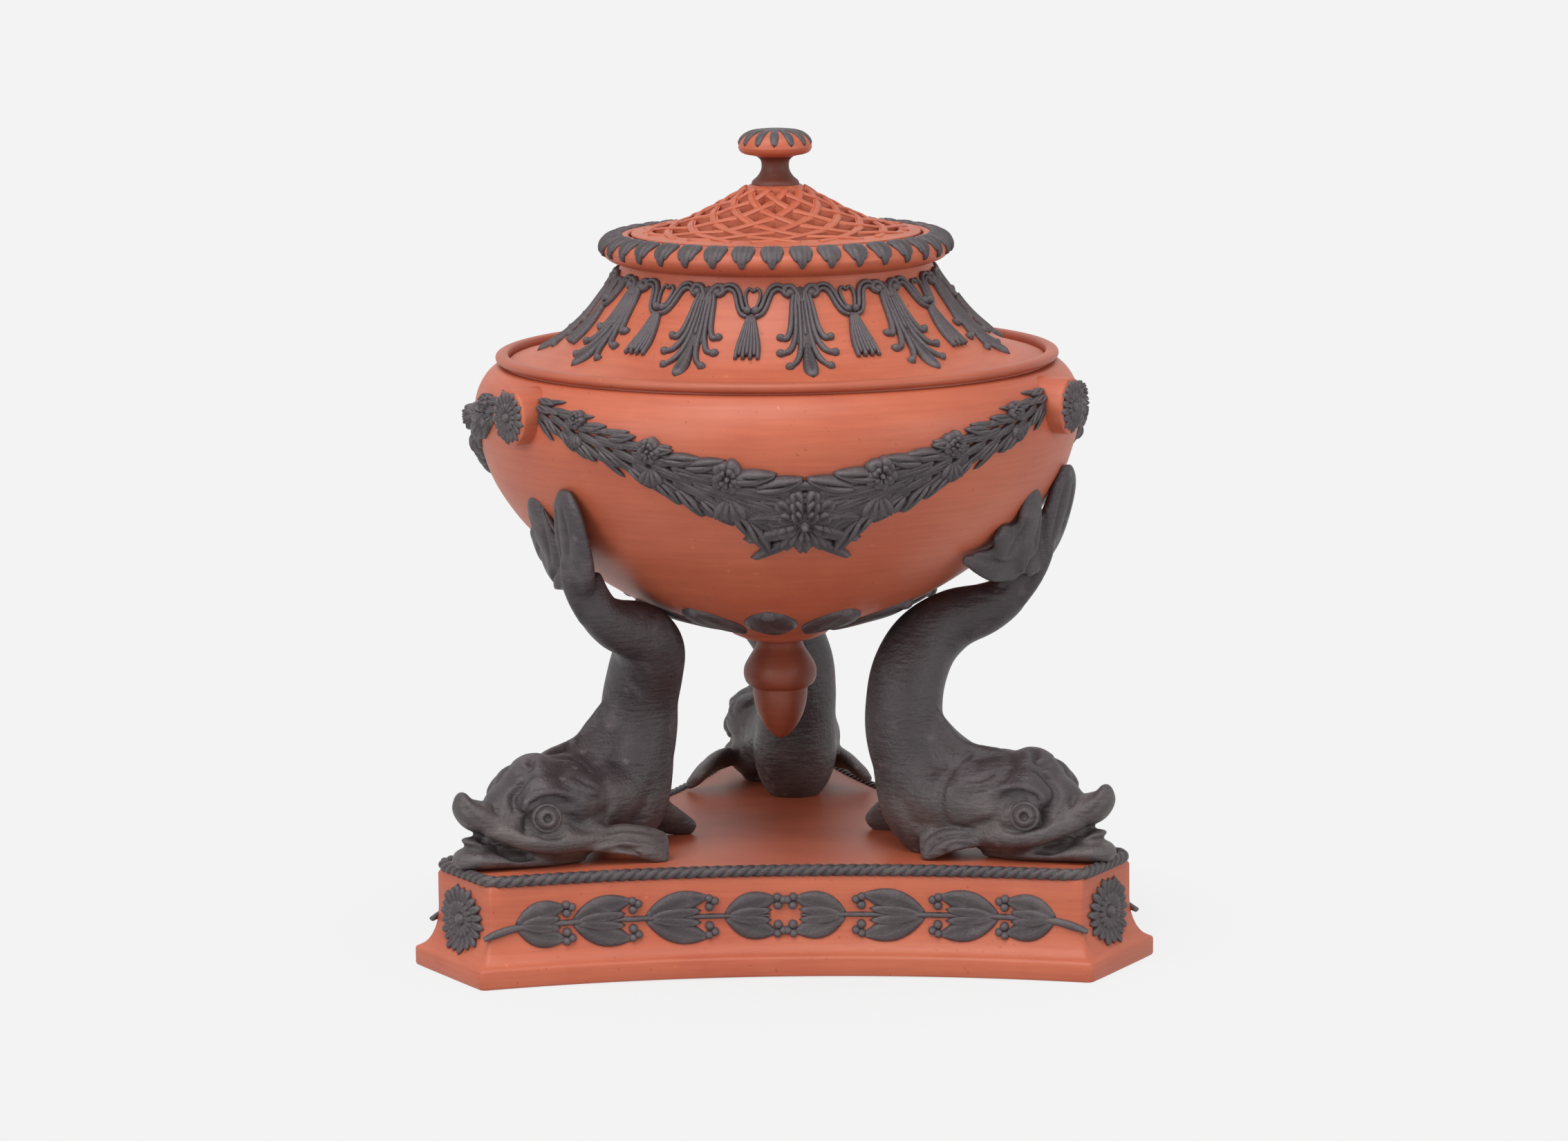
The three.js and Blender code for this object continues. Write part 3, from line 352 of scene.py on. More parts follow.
def red_stoneware(name="red stoneware, turned and fired unglazed", shade=1.0, roughness=0.47):
    """Fine red clay thrown and turned on the wheel, fired unglazed: matte, with faint turning lines and specks."""
    colours = bpy.context.scene.burner_colours
    material, tree, shader, place = new_material(name, roughness)
    if tree is None:
        return material
    # A shade below 1 darkens the whole clay: a darker slip on the rim ring, and painted shade on the acorn and the
    # knob's stem
    light, deep = shaded(colours.clay_light, shade), shaded(colours.clay_deep, shade)
    # Clouds about 18 mm wide, where the fire caught the clay unevenly
    clouds = node(tree, "ShaderNodeTexNoise", grain(place, 18))
    colour = node(tree, "ShaderNodeValToRGB", {"Fac": clouds}, stops=[(0.32, deep), (0.68, light)])
    # Turning lines 0.7 mm apart, left by the tool while the pot spun
    flat = node(tree, "ShaderNodeMapping", {"Vector": place, "Scale": (0.05, 0.05, 1)})
    lines = node(tree, "ShaderNodeTexNoise", grain(flat, 0.7, 4))
    streaks = node(tree, "ShaderNodeValToRGB", {"Fac": lines}, stops=[(0.3, shaded(deep, 0.8)), (0.7, light)])
    colour = node(tree, "ShaderNodeMix", {"Factor": 0.35, 6: colour, 7: streaks}, 2, data_type="RGBA")
    # Iron specks 0.9 mm wide and pale chips 1.7 mm wide: size, detail, roughness, stops and colour
    for size, detail, rough, start, end, share, mark in ((0.9, 1, 0.55, 0.72, 0.8, 0.55, shaded(deep, 0.42)),
                                                         (1.7, 1, 0.3, 0.78, 0.82, 0.5, shaded(light, 1.35))):
        marks = node(tree, "ShaderNodeTexNoise", grain(place, size, detail, rough))
        spots = node(tree, "ShaderNodeValToRGB", {"Fac": marks}, stops=[(start, grey(0)), (end, grey(share))])
        colour = node(tree, "ShaderNodeMix", {"Factor": spots, 6: colour, 7: (*mark, 1)}, 2, data_type="RGBA")
    tree.links.new(colour, shader.inputs["Base Color"])
    # Grain of the clay, 0.25 mm, drawn at 0.5 mm so that it shows
    height = node(tree, "ShaderNodeTexNoise", grain(place, 0.5, 4, 0.65))
    height = node(tree, "ShaderNodeMath", {0: height, 1: 0.55}, operation="MULTIPLY")
    height = node(tree, "ShaderNodeMath", {0: lines, 1: 0.5, 2: height}, operation="MULTIPLY_ADD")
    bump = node(tree, "ShaderNodeBump", {"Height": height, "Strength": 0.25, "Distance": 0.0002})
    tree.links.new(bump, shader.inputs["Normal"])
    return material


def basalt(name="black basalt, moulded and sprigged on", scaly=False):
    """Black stoneware pressed in moulds: charcoal, slightly waxy on the ridges, darkened with painted shade in the
    hollows, and brown and dusty in places.
    """
    colours = bpy.context.scene.burner_colours
    material, tree, shader, place = new_material(name, 0.5)
    if tree is None:
        return material
    dark = list(colours.basalt)
    # Patches 7 mm wide where the black body fired greyer
    patches = node(tree, "ShaderNodeTexNoise", grain(place, 7, 5, 0.6))
    colour = node(tree, "ShaderNodeValToRGB", {"Fac": patches},
                  stops=[(0.3, shaded(dark, 0.72)), (0.55, dark), (0.75, colours.basalt_ridge)])
    dust = node(tree, "ShaderNodeTexNoise", grain(place, 11, 4, 0.7))
    if scaly:
        # Dust lies on the heads, from 46 mm above the table downwards
        height = node(tree, "ShaderNodeSeparateXYZ", {"Vector": place}, "Z")
        low = node(tree, "ShaderNodeMapRange", {"Value": height, "From Min": 0.046, "From Max": 0.028})
        faint = node(tree, "ShaderNodeMath", {0: dust, 1: 0.45}, operation="MULTIPLY")
        dust = node(tree, "ShaderNodeMath", {0: low, 1: 0.36, 2: faint}, operation="MULTIPLY_ADD")
    # Ridges that handling has rubbed lighter, painted shade that darkens the hollows, and dust and brown bloom
    form = node(tree, "ShaderNodeNewGeometry", output="Pointiness")
    for factor, stops, mark in ((form, [(0.5, grey(0)), (0.6, grey(0.75))], colours.basalt_ridge),
                                (form, [(0.4, grey(0.75)), (0.485, grey(0))], shaded(dark, 0.5)),
                                (dust, [(0.5, grey(0)), (0.74, grey(0.7 if scaly else 0.3))], colours.basalt_bloom)):
        share = node(tree, "ShaderNodeValToRGB", {"Fac": factor}, stops=stops)
        colour = node(tree, "ShaderNodeMix", {"Factor": share, 6: colour, 7: (*mark, 1)}, 2, data_type="RGBA")
    tree.links.new(colour, shader.inputs["Base Color"])
    rough = node(tree, "ShaderNodeValToRGB", {"Fac": patches}, stops=[(0.3, grey(0.4)), (0.7, grey(0.55))])
    tree.links.new(rough, shader.inputs["Roughness"])
    # Tooling marks about 0.6 mm wide, and on the dolphins rows of scales about 1.5 mm wide and flat strokes
    height = node(tree, "ShaderNodeTexNoise", grain(place, 0.6, 4, 0.6))
    if scaly:
        rows = node(tree, "ShaderNodeMapping", {"Vector": place, "Scale": (0.55, 0.55, 1.5)})
        scales = node(tree, "ShaderNodeTexVoronoi", {"Vector": rows, "Scale": 1000 / 1.5}, "Distance")
        flat = node(tree, "ShaderNodeMapping", {"Vector": place, "Scale": (0.25, 0.25, 1.6)})
        strokes = node(tree, "ShaderNodeTexNoise", grain(flat, 0.9, 3, 0.5))
        for marks, share in ((scales, 0.6), (strokes, 0.9)):
            height = node(tree, "ShaderNodeMath", {0: marks, 1: share, 2: height}, operation="MULTIPLY_ADD")
    bump = node(tree, "ShaderNodeBump", {"Height": height, "Strength": 0.5, "Distance": 0.0004})
    tree.links.new(bump, shader.inputs["Normal"])
    return material


# --- Profiles shared by a piece and the reliefs on it ------------------------------------------------------------

BOWL_WALL = smooth([(9.2, 56), (17, 58.8), (24.5, 61.6), (31, 65.2), (38, 70), (45, 75.5), (49.3, 81), (51.5, 85),
                    (52.9, 89), (54, 93), (54.3, 97), (53.7, 100), (52.2, 102.7), (50.6, 104.2)], 5)
COVER_WALL = smooth([(47.85, 105.4), (44, 106.4), (40, 108), (37, 110.2), (34, 113), (31.3, 116.4), (29, 119.6),
                     (28.2, 121.2), (27.8, 122.5)], 6)
COLLAR = smooth([(27.8, 122.5), (28.7, 122.75), (29.9, 123.2), (30.8, 124), (31.2, 125.1), (30.7, 126.3),
                 (29.2, 127.15), (27.4, 127.6)], 6)
LID_CONE = smooth([(25.8, 127.8), (22, 128.4), (17.4, 129.5), (12.5, 131.7), (7.7, 134.3), (4.6, 136.2)], 6)
KNOB_DOME = smooth([(6.6, 142.9), (6.3, 144), (5.4, 145), (3.6, 145.7), (0.01, 146)], 6)


# --- Plinth ------------------------------------------------------------------------------------------------------

SIDE_REACH, SIDE_RADIUS, CORNER_REACH = 37.2, 179.4, 68.85
FOOT_BAND, COVE_TOP, COVE_DEPTH = 3.6, 10.8, 3.4
SHELL, RELIEF_HEIGHT, PLINTH_TOP = 4.5, 10.4, 18.82


def wall_inset(height):
    """How far the plinth's wall stands in from its foot."""
    rest = np.clip((COVE_TOP - height) / (COVE_TOP - FOOT_BAND), 0, 1)
    return np.where(height <= FOOT_BAND, 0, COVE_DEPTH * np.sqrt(1 - rest**2))


def side_point(across, height, inset):
    """A point on the hollow side that faces the front."""
    radius = SIDE_RADIUS + inset
    return np.stack(np.broadcast_arrays(radius * np.sin(across / SIDE_RADIUS),
                                        radius * np.cos(across / SIDE_RADIUS) - SIDE_REACH - SIDE_RADIUS, height), -1)


def half_side(inset):
    """Half the length of a hollow side, up to the cut corner."""
    reach = CORNER_REACH - inset - (SIDE_REACH + SIDE_RADIUS) / 2
    return SIDE_RADIUS * (math.pi / 6 + math.asin(reach / (SIDE_RADIUS + inset)))


def outline(inset, height, along=28, flat=6):
    """The plinth's outline at an inset and a height: three hollow sides and three cut corners."""
    half = half_side(inset)
    side = [Vector(side_point(half * (2 * i / along - 1), height, inset)) for i in range(along + 1)]
    points = []
    for turn in (0, 120, 240):
        points += [turned(p, turn) for p in side]
        points += [turned(side[-1].lerp(turned(side[0], 120), i / flat), turn) for i in range(1, flat)]
    return points


def side_patch(direction, height):
    """Places flat millimetres on a hollow side, from its middle."""
    turn = np.array(Matrix.Rotation(math.radians(direction + 90), 3, "Z"))

    def place(x, y, lift):
        return side_point(x, height + y, wall_inset(height + y) - lift) @ turn.T
    return place


def corner_patch(direction, height):
    """Places flat millimetres on a cut corner; what is laid there is stretched along the corner."""
    turn = np.array(Matrix.Rotation(math.radians(direction), 3, "Z"))

    def place(x, y, lift):
        return np.stack([CORNER_REACH - wall_inset(height + y) + lift, 1.28 * x, height + y], -1) @ turn.T
    return place


# --- Dolphin -----------------------------------------------------------------------------------------------------

# Centre (out, aside, up), half width and half depth along the dolphin, from snout to tail
DOLPHIN_BODY = [
    (59.6, 0.2, 26.4, 4, 3), (57.4, 0, 27, 5.6, 5.6), (54.4, -0.3, 27.6, 6.8, 7.8), (50, -0.9, 28, 7.9, 8.8),
    (44.5, -1.8, 28.2, 8.1, 9.2), (39, -2.6, 28.9, 7.8, 9.1), (33.6, -3.1, 29.8, 7.4, 8.6),
    (29.2, -3.4, 34.4, 7.2, 7.4), (27.5, -3.8, 39.8, 7.1, 7), (27.2, -3.5, 45, 6.9, 6.8), (27.2, -1.4, 50.3, 6.8, 6.7),
    (28.5, 2.3, 55.3, 6.3, 6.5), (32.4, 5.3, 59, 5.5, 5.8), (38, 7.4, 61.2, 4.6, 4.5), (41.6, 8.4, 63.6, 3.8, 3.8),
    (43.5, 8.7, 66.8, 3.3, 3.2), (44.8, 8.8, 70.4, 3, 2.4),
]


def dolphin_forms(bm, fins):
    """The rough forms of a dolphin, which are then fused: body, head, jaws, fins, crest and tail."""
    limb(bm, DOLPHIN_BODY, ASIDE, 28, 6)
    # Back of the body, which stands on the plinth
    limb(bm, [(28.4, -3.4, 38, 7, 7), (29.3, -3.2, 32, 7.4, 7.5), (30.4, -3.1, 27, 7.2, 7.8),
              (32.2, -3, 22.5, 5.8, 6.8), (34, -3, 19.4, 4, 5)], ASIDE, 24)
    # Forehead, which bulges over the snout
    ball(bm, (50.9, 0, 31.8), (5.9, 7, 6.6))
    ball(bm, (45.5, -1.2, 32), (7.4, 7.8, 5.7))
    for hand in (-1, 1):
        # Brow lobe that overhangs the eye, and the ridge that runs back from it
        ball(bm, (51.8, hand * 4.4, 31.4), (4.5, 4.6, 4.4))
        ball(bm, (46, hand * 4.8, 30.6), (6.6, 5, 4.8))
        limb(bm, [(56, hand * 5.8, 28.4, 1, 1), (55.6, hand * 7, 30.8, 1.5, 1.4), (53, hand * 8.2, 32.2, 1.6, 1.5),
                  (49.4, hand * 8.5, 31.8, 1.4, 1.2), (46, hand * 8.2, 30.6, 0.6, 0.6)], ASIDE, 14)
        # Cheek under the eye, and the lip that runs forward from it
        ball(bm, (47.5, hand * 5, 24.4), (8.6, 4.6, 4.8))
        limb(bm, [(62.4, hand * 3, 26.4, 1.2, 0.9), (59.6, hand * 5, 25.6, 1.7, 1.2), (56.4, hand * 6.8, 24.6, 2, 1.5),
                  (52, hand * 8.2, 23.8, 2.1, 1.7), (46, hand * 8.6, 23.8, 2, 1.7), (41.6, hand * 8.4, 25, 1.2, 1.2)],
             ASIDE, 14)
    # Upper jaw: a broad spoon that curls up at its end
    limb(bm, [(54.6, 0, 26.4, 5, 3), (57.8, 0, 27.2, 5, 2.8), (60.8, 0, 27.7, 4.7, 2.9), (63.2, 0, 28.7, 4.3, 2.8),
              (64.7, 0, 30.2, 3.6, 2.2), (65.2, 0, 31.7, 2.4, 1.4), (65, 0, 33, 0.8, 0.6)], UP, 20)
    # Tongue
    limb(bm, [(56, 0, 23, 3.4, 0.9), (60.4, 0, 23.4, 3.2, 0.9), (63.9, 0, 23.9, 2.4, 0.8), (65.4, 0, 24.3, 1, 0.5)],
         UP, 16, 4)
    # Lower jaw, which lies on the plinth
    limb(bm, [(44, 0, 19.6, 6.6, 1.2), (51, 0, 19.8, 6.8, 1.5), (56.6, 0, 20.2, 6, 1.6), (61.2, 0, 20.7, 5.2, 1.9),
              (64.6, 0, 20.8, 4.2, 1.8), (66.8, 0, 20.2, 1.6, 1.1)], UP, 20)
    # Nape, and the crest on it between the head and the back
    limb(bm, [(46, -2, 31.6, 5, 6), (40.4, -2.8, 33.6, 4.4, 5.6), (35.8, -3.2, 37.2, 3.4, 4.6),
              (32.6, -3.4, 41.6, 2.4, 3.4), (30, -3.4, 46.4, 1.6, 2.4)], ASIDE, 20)
    limb(bm, [(50, -1.4, 35.6, 1.6, 1.2), (46, -2.8, 36.6, 1.8, 1.6), (42, -4, 37.2, 1.7, 1.7),
              (38.8, -4.7, 38.3, 1.4, 1.6), (36.4, -5, 41, 1.1, 1.3), (34, -4.6, 44.8, 0.6, 0.7)],
         (1, 0, 1.6), 14)
    # Fins pressed on each side: root, middle, end and the three half widths
    for root, middle, end, wide in fins:
        limb(bm, [(*root, wide[0], 1.2), (*middle, wide[1], 1.5), (*end, wide[2], 1.1),
                  (*[1.06 * e - 0.06 * m for e, m in zip(end, middle)], wide[2] * 0.6, 0.6)],
             (0, 1 if root[1] > 0 else -1, 0.8), 20, 6)
    # Fluke: a thin fan that lies on the bowl, with its lower corner free
    for points in ([(46, 5, 69.4, 2.6, 1.8), (45, -3, 71.2, 3.4, 1.4), (42.8, -10.6, 72.8, 0.9, 0.7)],
                   [(46, 5, 70, 2.4, 1.7), (47, -1.6, 74.6, 4.2, 1.4), (47.2, -5.6, 77.6, 1.6, 0.9)],
                   [(45.6, 6.2, 70, 2.6, 1.8), (48.8, 3, 77, 4.3, 1.5), (50.2, 1.4, 82, 3.4, 1.2),
                    (50.6, 0.8, 84.4, 1.6, 0.7)],
                   [(45.4, 8.8, 68.6, 3, 2), (48, 11.4, 74, 5.2, 2), (49.8, 13, 80, 4.8, 1.8),
                    (50.8, 13.4, 84.4, 3.9, 1.4), (51.1, 13.4, 87, 1.8, 0.8)],
                   [(48, 6, 68.2, 2, 1.2), (47.6, 5.4, 71.6, 4.6, 1.6), (48.8, 6.4, 77, 3.6, 1.2)]):
        limb(bm, points, (1, 0, -0.35))
    # Keel under the tail
    limb(bm, [(49.6, 10.6, 75.6, 0.8, 0.8), (49, 9.8, 71.8, 1.3, 1.4), (47.4, 9, 67.4, 1.3, 1.5),
              (45.4, 8.2, 63.4, 0.9, 1), (44.8, 7.8, 61.8, 0.4, 0.5)], ASIDE, 12)


# Grooves carved in the fused dolphin: points, half width and depth; each is cut on both sides
DOLPHIN_GROOVES = [
    # Crease down the forehead in front of the eye
    ([(53.6, 5, 36), (55.3, 4.6, 35.5), (56.6, 4.1, 34.4), (57.4, 3.9, 32.8), (57.8, 4.3, 31.2), (57.6, 5.2, 29.6),
      (56.8, 6.2, 28.2), (55.5, 6.8, 27)], 0.75, 1.1),
    # Folds over the brow and the crown
    ([(55.7, 1.1, 37.2), (55.5, 2.4, 36.9), (54.8, 3.4, 36.9), (53.8, 3.7, 37.2), (52.8, 3.4, 37.6)], 0.55, 0.7),
    ([(57, 1.6, 35.3), (56.1, 2.8, 36), (55.2, 4, 36), (53.9, 5, 35.9)], 0.45, 0.5),
    ([(51.5, 1, 38.5), (52.8, 2.5, 38.1), (53.6, 3.5, 37.4)], 0.8, 0.9),
    ([(47.2, 0.9, 37.5), (44.9, 1.8, 37.4), (42.5, 3.6, 37), (40.6, 6, 36.2), (39.7, 7.9, 35.2)], 0.6, 0.6),
    # Deep hollow between the brow and the eye, and hollows round the eye
    ([(56, 7.8, 30), (55, 9, 30.9), (53.2, 9.8, 31.3), (51, 10.1, 31.1), (49, 9.8, 30.4)], 1.5, 2.2),
    ([(56.7, 6.2, 28.3), (55.9, 6.8, 27), (55, 7.6, 26.1)], 1.2, 1.7),
    ([(55.2, 7.2, 25.4), (53.1, 8.9, 24.9), (51, 9.2, 25), (49.4, 8.9, 26)], 0.6, 0.8),
    ([(49, 8.4, 28.4), (47.8, 9, 27), (46, 9.3, 26), (44, 9.5, 25.4)], 1.1, 0.9),
    # Wrinkles behind the eye
    ([(46.8, 6.4, 33.4), (44.9, 7, 32.4), (41.9, 7.4, 31.3)], 0.45, 0.45),
    ([(48.4, 8, 32.4), (44.6, 8.4, 31), (40.6, 7.6, 30.3)], 0.45, 0.45),
    # Mouth, nostril, ridge of the beak and gill
    ([(62.9, 1.2, 25.1), (62.1, 2.6, 24.4), (60.2, 4, 23.2), (57.4, 5, 22), (54.6, 5.6, 21.4)], 0.8, 1.2),
    ([(60.3, 2.4, 29.5), (60.1, 3.5, 28.9)], 0.5, 1.0),
    ([(67, 2.5, 31.5), (65.6, 3.6, 29.4), (63.3, 4.4, 27.4)], 0.5, 0.35),
    ([(39.5, 8.1, 34.9), (39, 8.4, 32.7), (38.5, 8, 29.9), (39.3, 8, 27.5), (40, 8, 25.7)], 0.7, 0.45),
]
# Ribs of the fins, which were pressed on by hand and differ: points, half width and depth
FIN_GROOVES = {
    "left": [([(44.4, 10, 23), (39.3, 11, 23.2), (34.3, 12, 22.5)], 0.45, 0.55),
             ([(42.8, 9.7, 24.7), (38, 9.9, 24.4), (33, 11, 23.4)], 0.45, 0.55),
             ([(43, 10.6, 21.8), (39, 11.4, 22), (35, 12.2, 21.2)], 0.4, 0.4),
             ([(40.3, 11.4, 22.1), (38.3, 12.1, 21.6), (36.7, 12.5, 20.1)], 0.5, 1.2)],
    "right": [([(46, -10.2, 24.2), (41.5, -10.6, 25.1), (37.5, -10.9, 24.2), (34.4, -11.7, 21.8)], 0.45, 0.6),
              ([(44.6, -10.2, 23.2), (40.6, -11.6, 23.3), (37.6, -12.4, 22), (36.2, -12.9, 20.2)], 0.45, 0.6),
              ([(44.2, -10.6, 22), (41.5, -12, 22), (39.5, -12.6, 20.6)], 0.4, 0.5)],
    "rear": [([(42, hand * 11, 25.4), (37, hand * 14, 25), (33.5, hand * 17, 22.4)], 0.45, 0.6) for hand in (-1, 1)]
    + [([(41, hand * 12.4, 23.4), (37, hand * 15, 22.6), (34.6, hand * 17, 20.6)], 0.45, 0.6) for hand in (-1, 1)],
}
# Grooves of the fluke, which is not the same on both sides
FLUKE_GROOVES = [
    ([(50.6, 6.6, 84), (50.4, 7, 80.6), (49.6, 7.4, 76.4), (48.6, 7.4, 73)], 0.9, 1.2),
    ([(51.4, 11.6, 84), (50.9, 11, 79.5), (49.6, 10, 74.6)], 0.55, 0.6),
    ([(51.4, 14, 83.4), (50.3, 14, 79), (49.1, 13, 75.6)], 0.5, 0.5),
    ([(50, -0.2, 80.9), (48.8, -0.8, 76.1), (47.7, -2.9, 73.1)], 0.5, 0.5),
    ([(50.9, 3.8, 82.4), (50, 4.2, 78), (48.6, 4.4, 73.4)], 0.5, 0.5),
    ([(46.8, 0.6, 72), (45.6, -3.6, 72), (44, -8.4, 73)], 0.45, 0.5),
    ([(42.3, 3.8, 65.8), (46.3, 4.1, 67.2), (48.9, 4.1, 70.2), (49.3, 6.6, 72.2)], 0.6, 1.0),
]


def carved(bm, grooves):
    """Presses grooves into a mesh along lines of points, which are first brought to its skin."""
    bm.normal_update()
    verts = list(bm.verts)
    places = np.array([v.co for v in verts])
    normals = np.array([v.normal for v in verts])
    for points, half_width, depth in grooves:
        line = smooth([places[((places - point)**2).sum(1).argmin()] for point in points], 14)
        low, high = line.min(0) - 3 * half_width, line.max(0) + 3 * half_width
        near = np.where(((places > low) & (places < high)).all(1))[0]
        if not len(near):
            continue
        away = places[near][:, None, :] - line[None, :, :]
        distance = np.sqrt((away**2).sum(2))
        closest = distance.argmin(1)
        taper = np.sin(np.pi * np.clip((closest + 2) / (len(line) + 3), 0, 1)) ** 0.5
        press = depth * taper * np.exp(-((distance.min(1) / half_width) ** 2))
        places[near] -= normals[near] * press[:, None]
    for v, place in zip(verts, places):
        v.co = place


def fused(bm, voxel):
    """The forms of a mesh fused into one skin and smoothed."""
    forms = placed("forms", mesh_of(bm, "forms"))
    remesh = forms.modifiers.new("fuse", "REMESH")
    remesh.mode = "VOXEL"
    remesh.voxel_size = voxel
    skin = bmesh.new()
    skin.from_object(forms, bpy.context.evaluated_depsgraph_get())
    bpy.data.objects.remove(forms)
    for _ in range(6):
        smoothed(skin, 0.5)
    return skin


def eye(bm, hand):
    """A dolphin's eye: a lid ring, a ball in it and a sunk pupil."""
    centre, out = Vector((53.3 - 0.3 * hand, hand * 8.5, 28 + 0.35 * hand)), Vector((0.35, hand, 0.08)).normalized()
    basis = out.to_track_quat("Z", "Y").to_matrix().to_4x4()
    place = Matrix.Translation(centre) @ basis
    rim = smooth([(2.5, -2), (2.75, -0.6), (2.6, 0.2), (2.3, 0.45), (2, 0.3), (1.8, 0.75), (1.45, 1.2),
                  (1.05, 1.35), (0.75, 1.1), (0.6, 0.7), (0.3, 0.55), (0.01, 0.5)], 3)
    made = spun(rim, 32)
    bmesh.ops.transform(made, verts=made.verts, matrix=place)
    joined(bm, made)


# The two fins of each dolphin were pressed on by hand, and lie differently: root, middle, end and half widths
DOLPHIN_FINS = {
    "left": [((46, 8, 23.4), (37.6, 10.2, 23), (30.6, 11.2, 20.8), (2, 3.3, 3.2)),
             ((29, -5, 26), (22.6, -6.2, 22.8), (15.6, -5.4, 19.8), (6, 4.2, 1.5))],
    "right": [((46, -8, 23.4), (40, -10, 23.4), (34.4, -10.6, 21.2), (2, 3.6, 3.6)),
              ((29, 3, 26), (22, 6.4, 23.2), (14.6, 7.4, 19.8), (6.4, 5, 2.2))],
    "rear": [((42, 8, 24), (37, 12.4, 24), (33.5, 16, 21), (2, 4, 4)),
             ((42, -8, 24), (37, -12.4, 24.5), (33.5, -16, 22), (2, 4, 4))],
}


# --- Sizes and colours -------------------------------------------------------------------------------------------


def length_setting(name, description, default):
    """A length that can be changed, in metres."""
    return bpy.props.FloatProperty(name=name, description=description, default=default, unit="LENGTH",
                                   subtype="DISTANCE")


def colour_setting(name, description, code):
    """A colour that can be changed, from its sRGB hex value."""
    return bpy.props.FloatVectorProperty(name=name, description=description, default=linear(code), size=3,
                                         subtype="COLOR", min=0, max=1)


class BurnerSizes(bpy.types.PropertyGroup):
    """Sizes of the burner that can be changed."""

    rope_diameter: length_setting("Rope diameter", "Diameter of the rope border on the plinth", 0.0021)
    rope_pitch: length_setting("Rope pitch", "Length in which a strand of the rope turns once", 0.006)
    corner_daisy: length_setting("Corner daisy", "Radius of the daisies on the cut corners", 0.0062)
    plinth_height: length_setting("Plinth height", "Height of the plinth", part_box("plinth")[1].z)
    bowl_wall: length_setting("Bowl wall", "Thickness of the bowl's wall", 0.0032)
    lattice_strap: length_setting("Lattice strap", "Width of the straps of the pierced lid", 0.00125)
    dolphin_detail: length_setting("Dolphin detail", "Size of the cells in which the dolphins are fused", 0.00042)


class BurnerColours(bpy.types.PropertyGroup):
    """Colours of the burner and its studio."""

    clay_light: colour_setting("Clay, light", "Red stoneware where it fired lighter", "#CC6E4E")
    clay_deep: colour_setting("Clay, deep", "Red stoneware where it fired deeper", "#BD5C41")
    basalt: colour_setting("Basalt", "Black basalt body", "#3D3538")
    basalt_ridge: colour_setting("Basalt ridges", "Black basalt where it is rubbed", "#635A5E")
    basalt_bloom: colour_setting("Basalt bloom", "Brown bloom on the black basalt", "#776D69")
    background: colour_setting("Background", "Floor and backdrop", "#F3F3F3")


def millimetres(size):
    """One of the sizes in millimetres."""
    return getattr(bpy.context.scene.burner_sizes, size) / MM


# --- Operators ---------------------------------------------------------------------------------------------------


class BURNER_OT_plinth(bpy.types.Operator):
    """Adds the triangular plinth with hollow sides, cut corners, foot band and cove"""

    bl_idname = "burner.plinth"
    bl_label = "Plinth"

    def execute(self, context):
        top = millimetres("plinth_height")
        wall = COVE_DEPTH + SHELL
        levels = [(wall, top - SHELL), (wall, 0.6), (wall - 0.6, 0), (0.5, 0), (0.15, 0.15), (0, 0.5), (0, 3.1),
                  (0.1, 3.45)]
        for i in range(1, 9):
            a = math.pi / 2 * i / 8
            levels.append((COVE_DEPTH * math.sin(a), COVE_TOP - (COVE_TOP - FOOT_BAND) * math.cos(a)))
        levels += [(COVE_DEPTH, 13.6), (COVE_DEPTH, 16.9), (COVE_DEPTH + 0.4, 17.6), (COVE_DEPTH + 0.7, 18.4),
                   (COVE_DEPTH + 1.1, 18.75), (COVE_DEPTH + 1.7, top)]
        bm = bmesh.new()
        skinned(bm, [outline(inset, height) for inset, height in levels])
        sharp = [e for e in bm.edges if e.is_manifold and e.calc_face_angle() > math.radians(22)
                 and abs(e.verts[0].co.z - e.verts[1].co.z) > 0.05 * e.calc_length()
                 and e.verts[0].co.xy.length > 55]
        bmesh.ops.bevel(bm, geom=sharp, offset=0.7, segments=3, affect="EDGES", profile=0.5, material=-1)
        finished(bm, "plinth_body", "stand", ["plinth"], "redware", sharp=50)
        return {"FINISHED"}


class BURNER_OT_rope(bpy.types.Operator):
    """Adds the twisted rope border round the plinth's top edge"""

    bl_idname = "burner.rope"
    bl_label = "Rope border"

    def execute(self, context):
        radius = millimetres("rope_diameter") / 2
        height = millimetres("plinth_height") + 0.6 - radius
        line = [p.xy.to_3d() for p in outline(COVE_DEPTH + 0.4, 0, along=60, flat=14)]
        count = len(line)
        for _ in range(3):
            line = [(line[i - 1] + 2 * line[i] + line[(i + 1) % count]) / 4 for i in range(count)]
        steps = [(line[(i + 1) % count] - line[i]).length for i in range(count)]
        length = sum(steps)
        turns = round(length / millimetres("rope_pitch"))
        rings = []
        samples = turns * 24
        marks = np.concatenate([[0], np.cumsum(steps)])
        closed = np.array([*line, line[0]])
        for k in range(samples):
            here = length * k / samples
            centre = Vector([np.interp(here, marks, closed[:, i]) for i in range(3)])
            ahead = Vector([np.interp((here + 0.5) % length, marks, closed[:, i]) for i in range(3)])
            out = (ahead - centre).normalized().cross(Vector(UP))
            twist = 2 * math.pi * turns * k / samples
            ring = []
            for a in np.arange(21) * 2 * math.pi / 21:
                size = radius * (0.7 + 0.36 * abs(math.cos(1.5 * (a - twist))) ** 0.6)
                ring.append(centre + out * size * math.cos(a) + Vector((0, 0, height + size * math.sin(a))))
            rings.append(ring)
        bm = bmesh.new()
        skinned(bm, rings, endless=True)
        finished(bm, "rope_moulding", "stand", ["rope_border"])
        return {"FINISHED"}


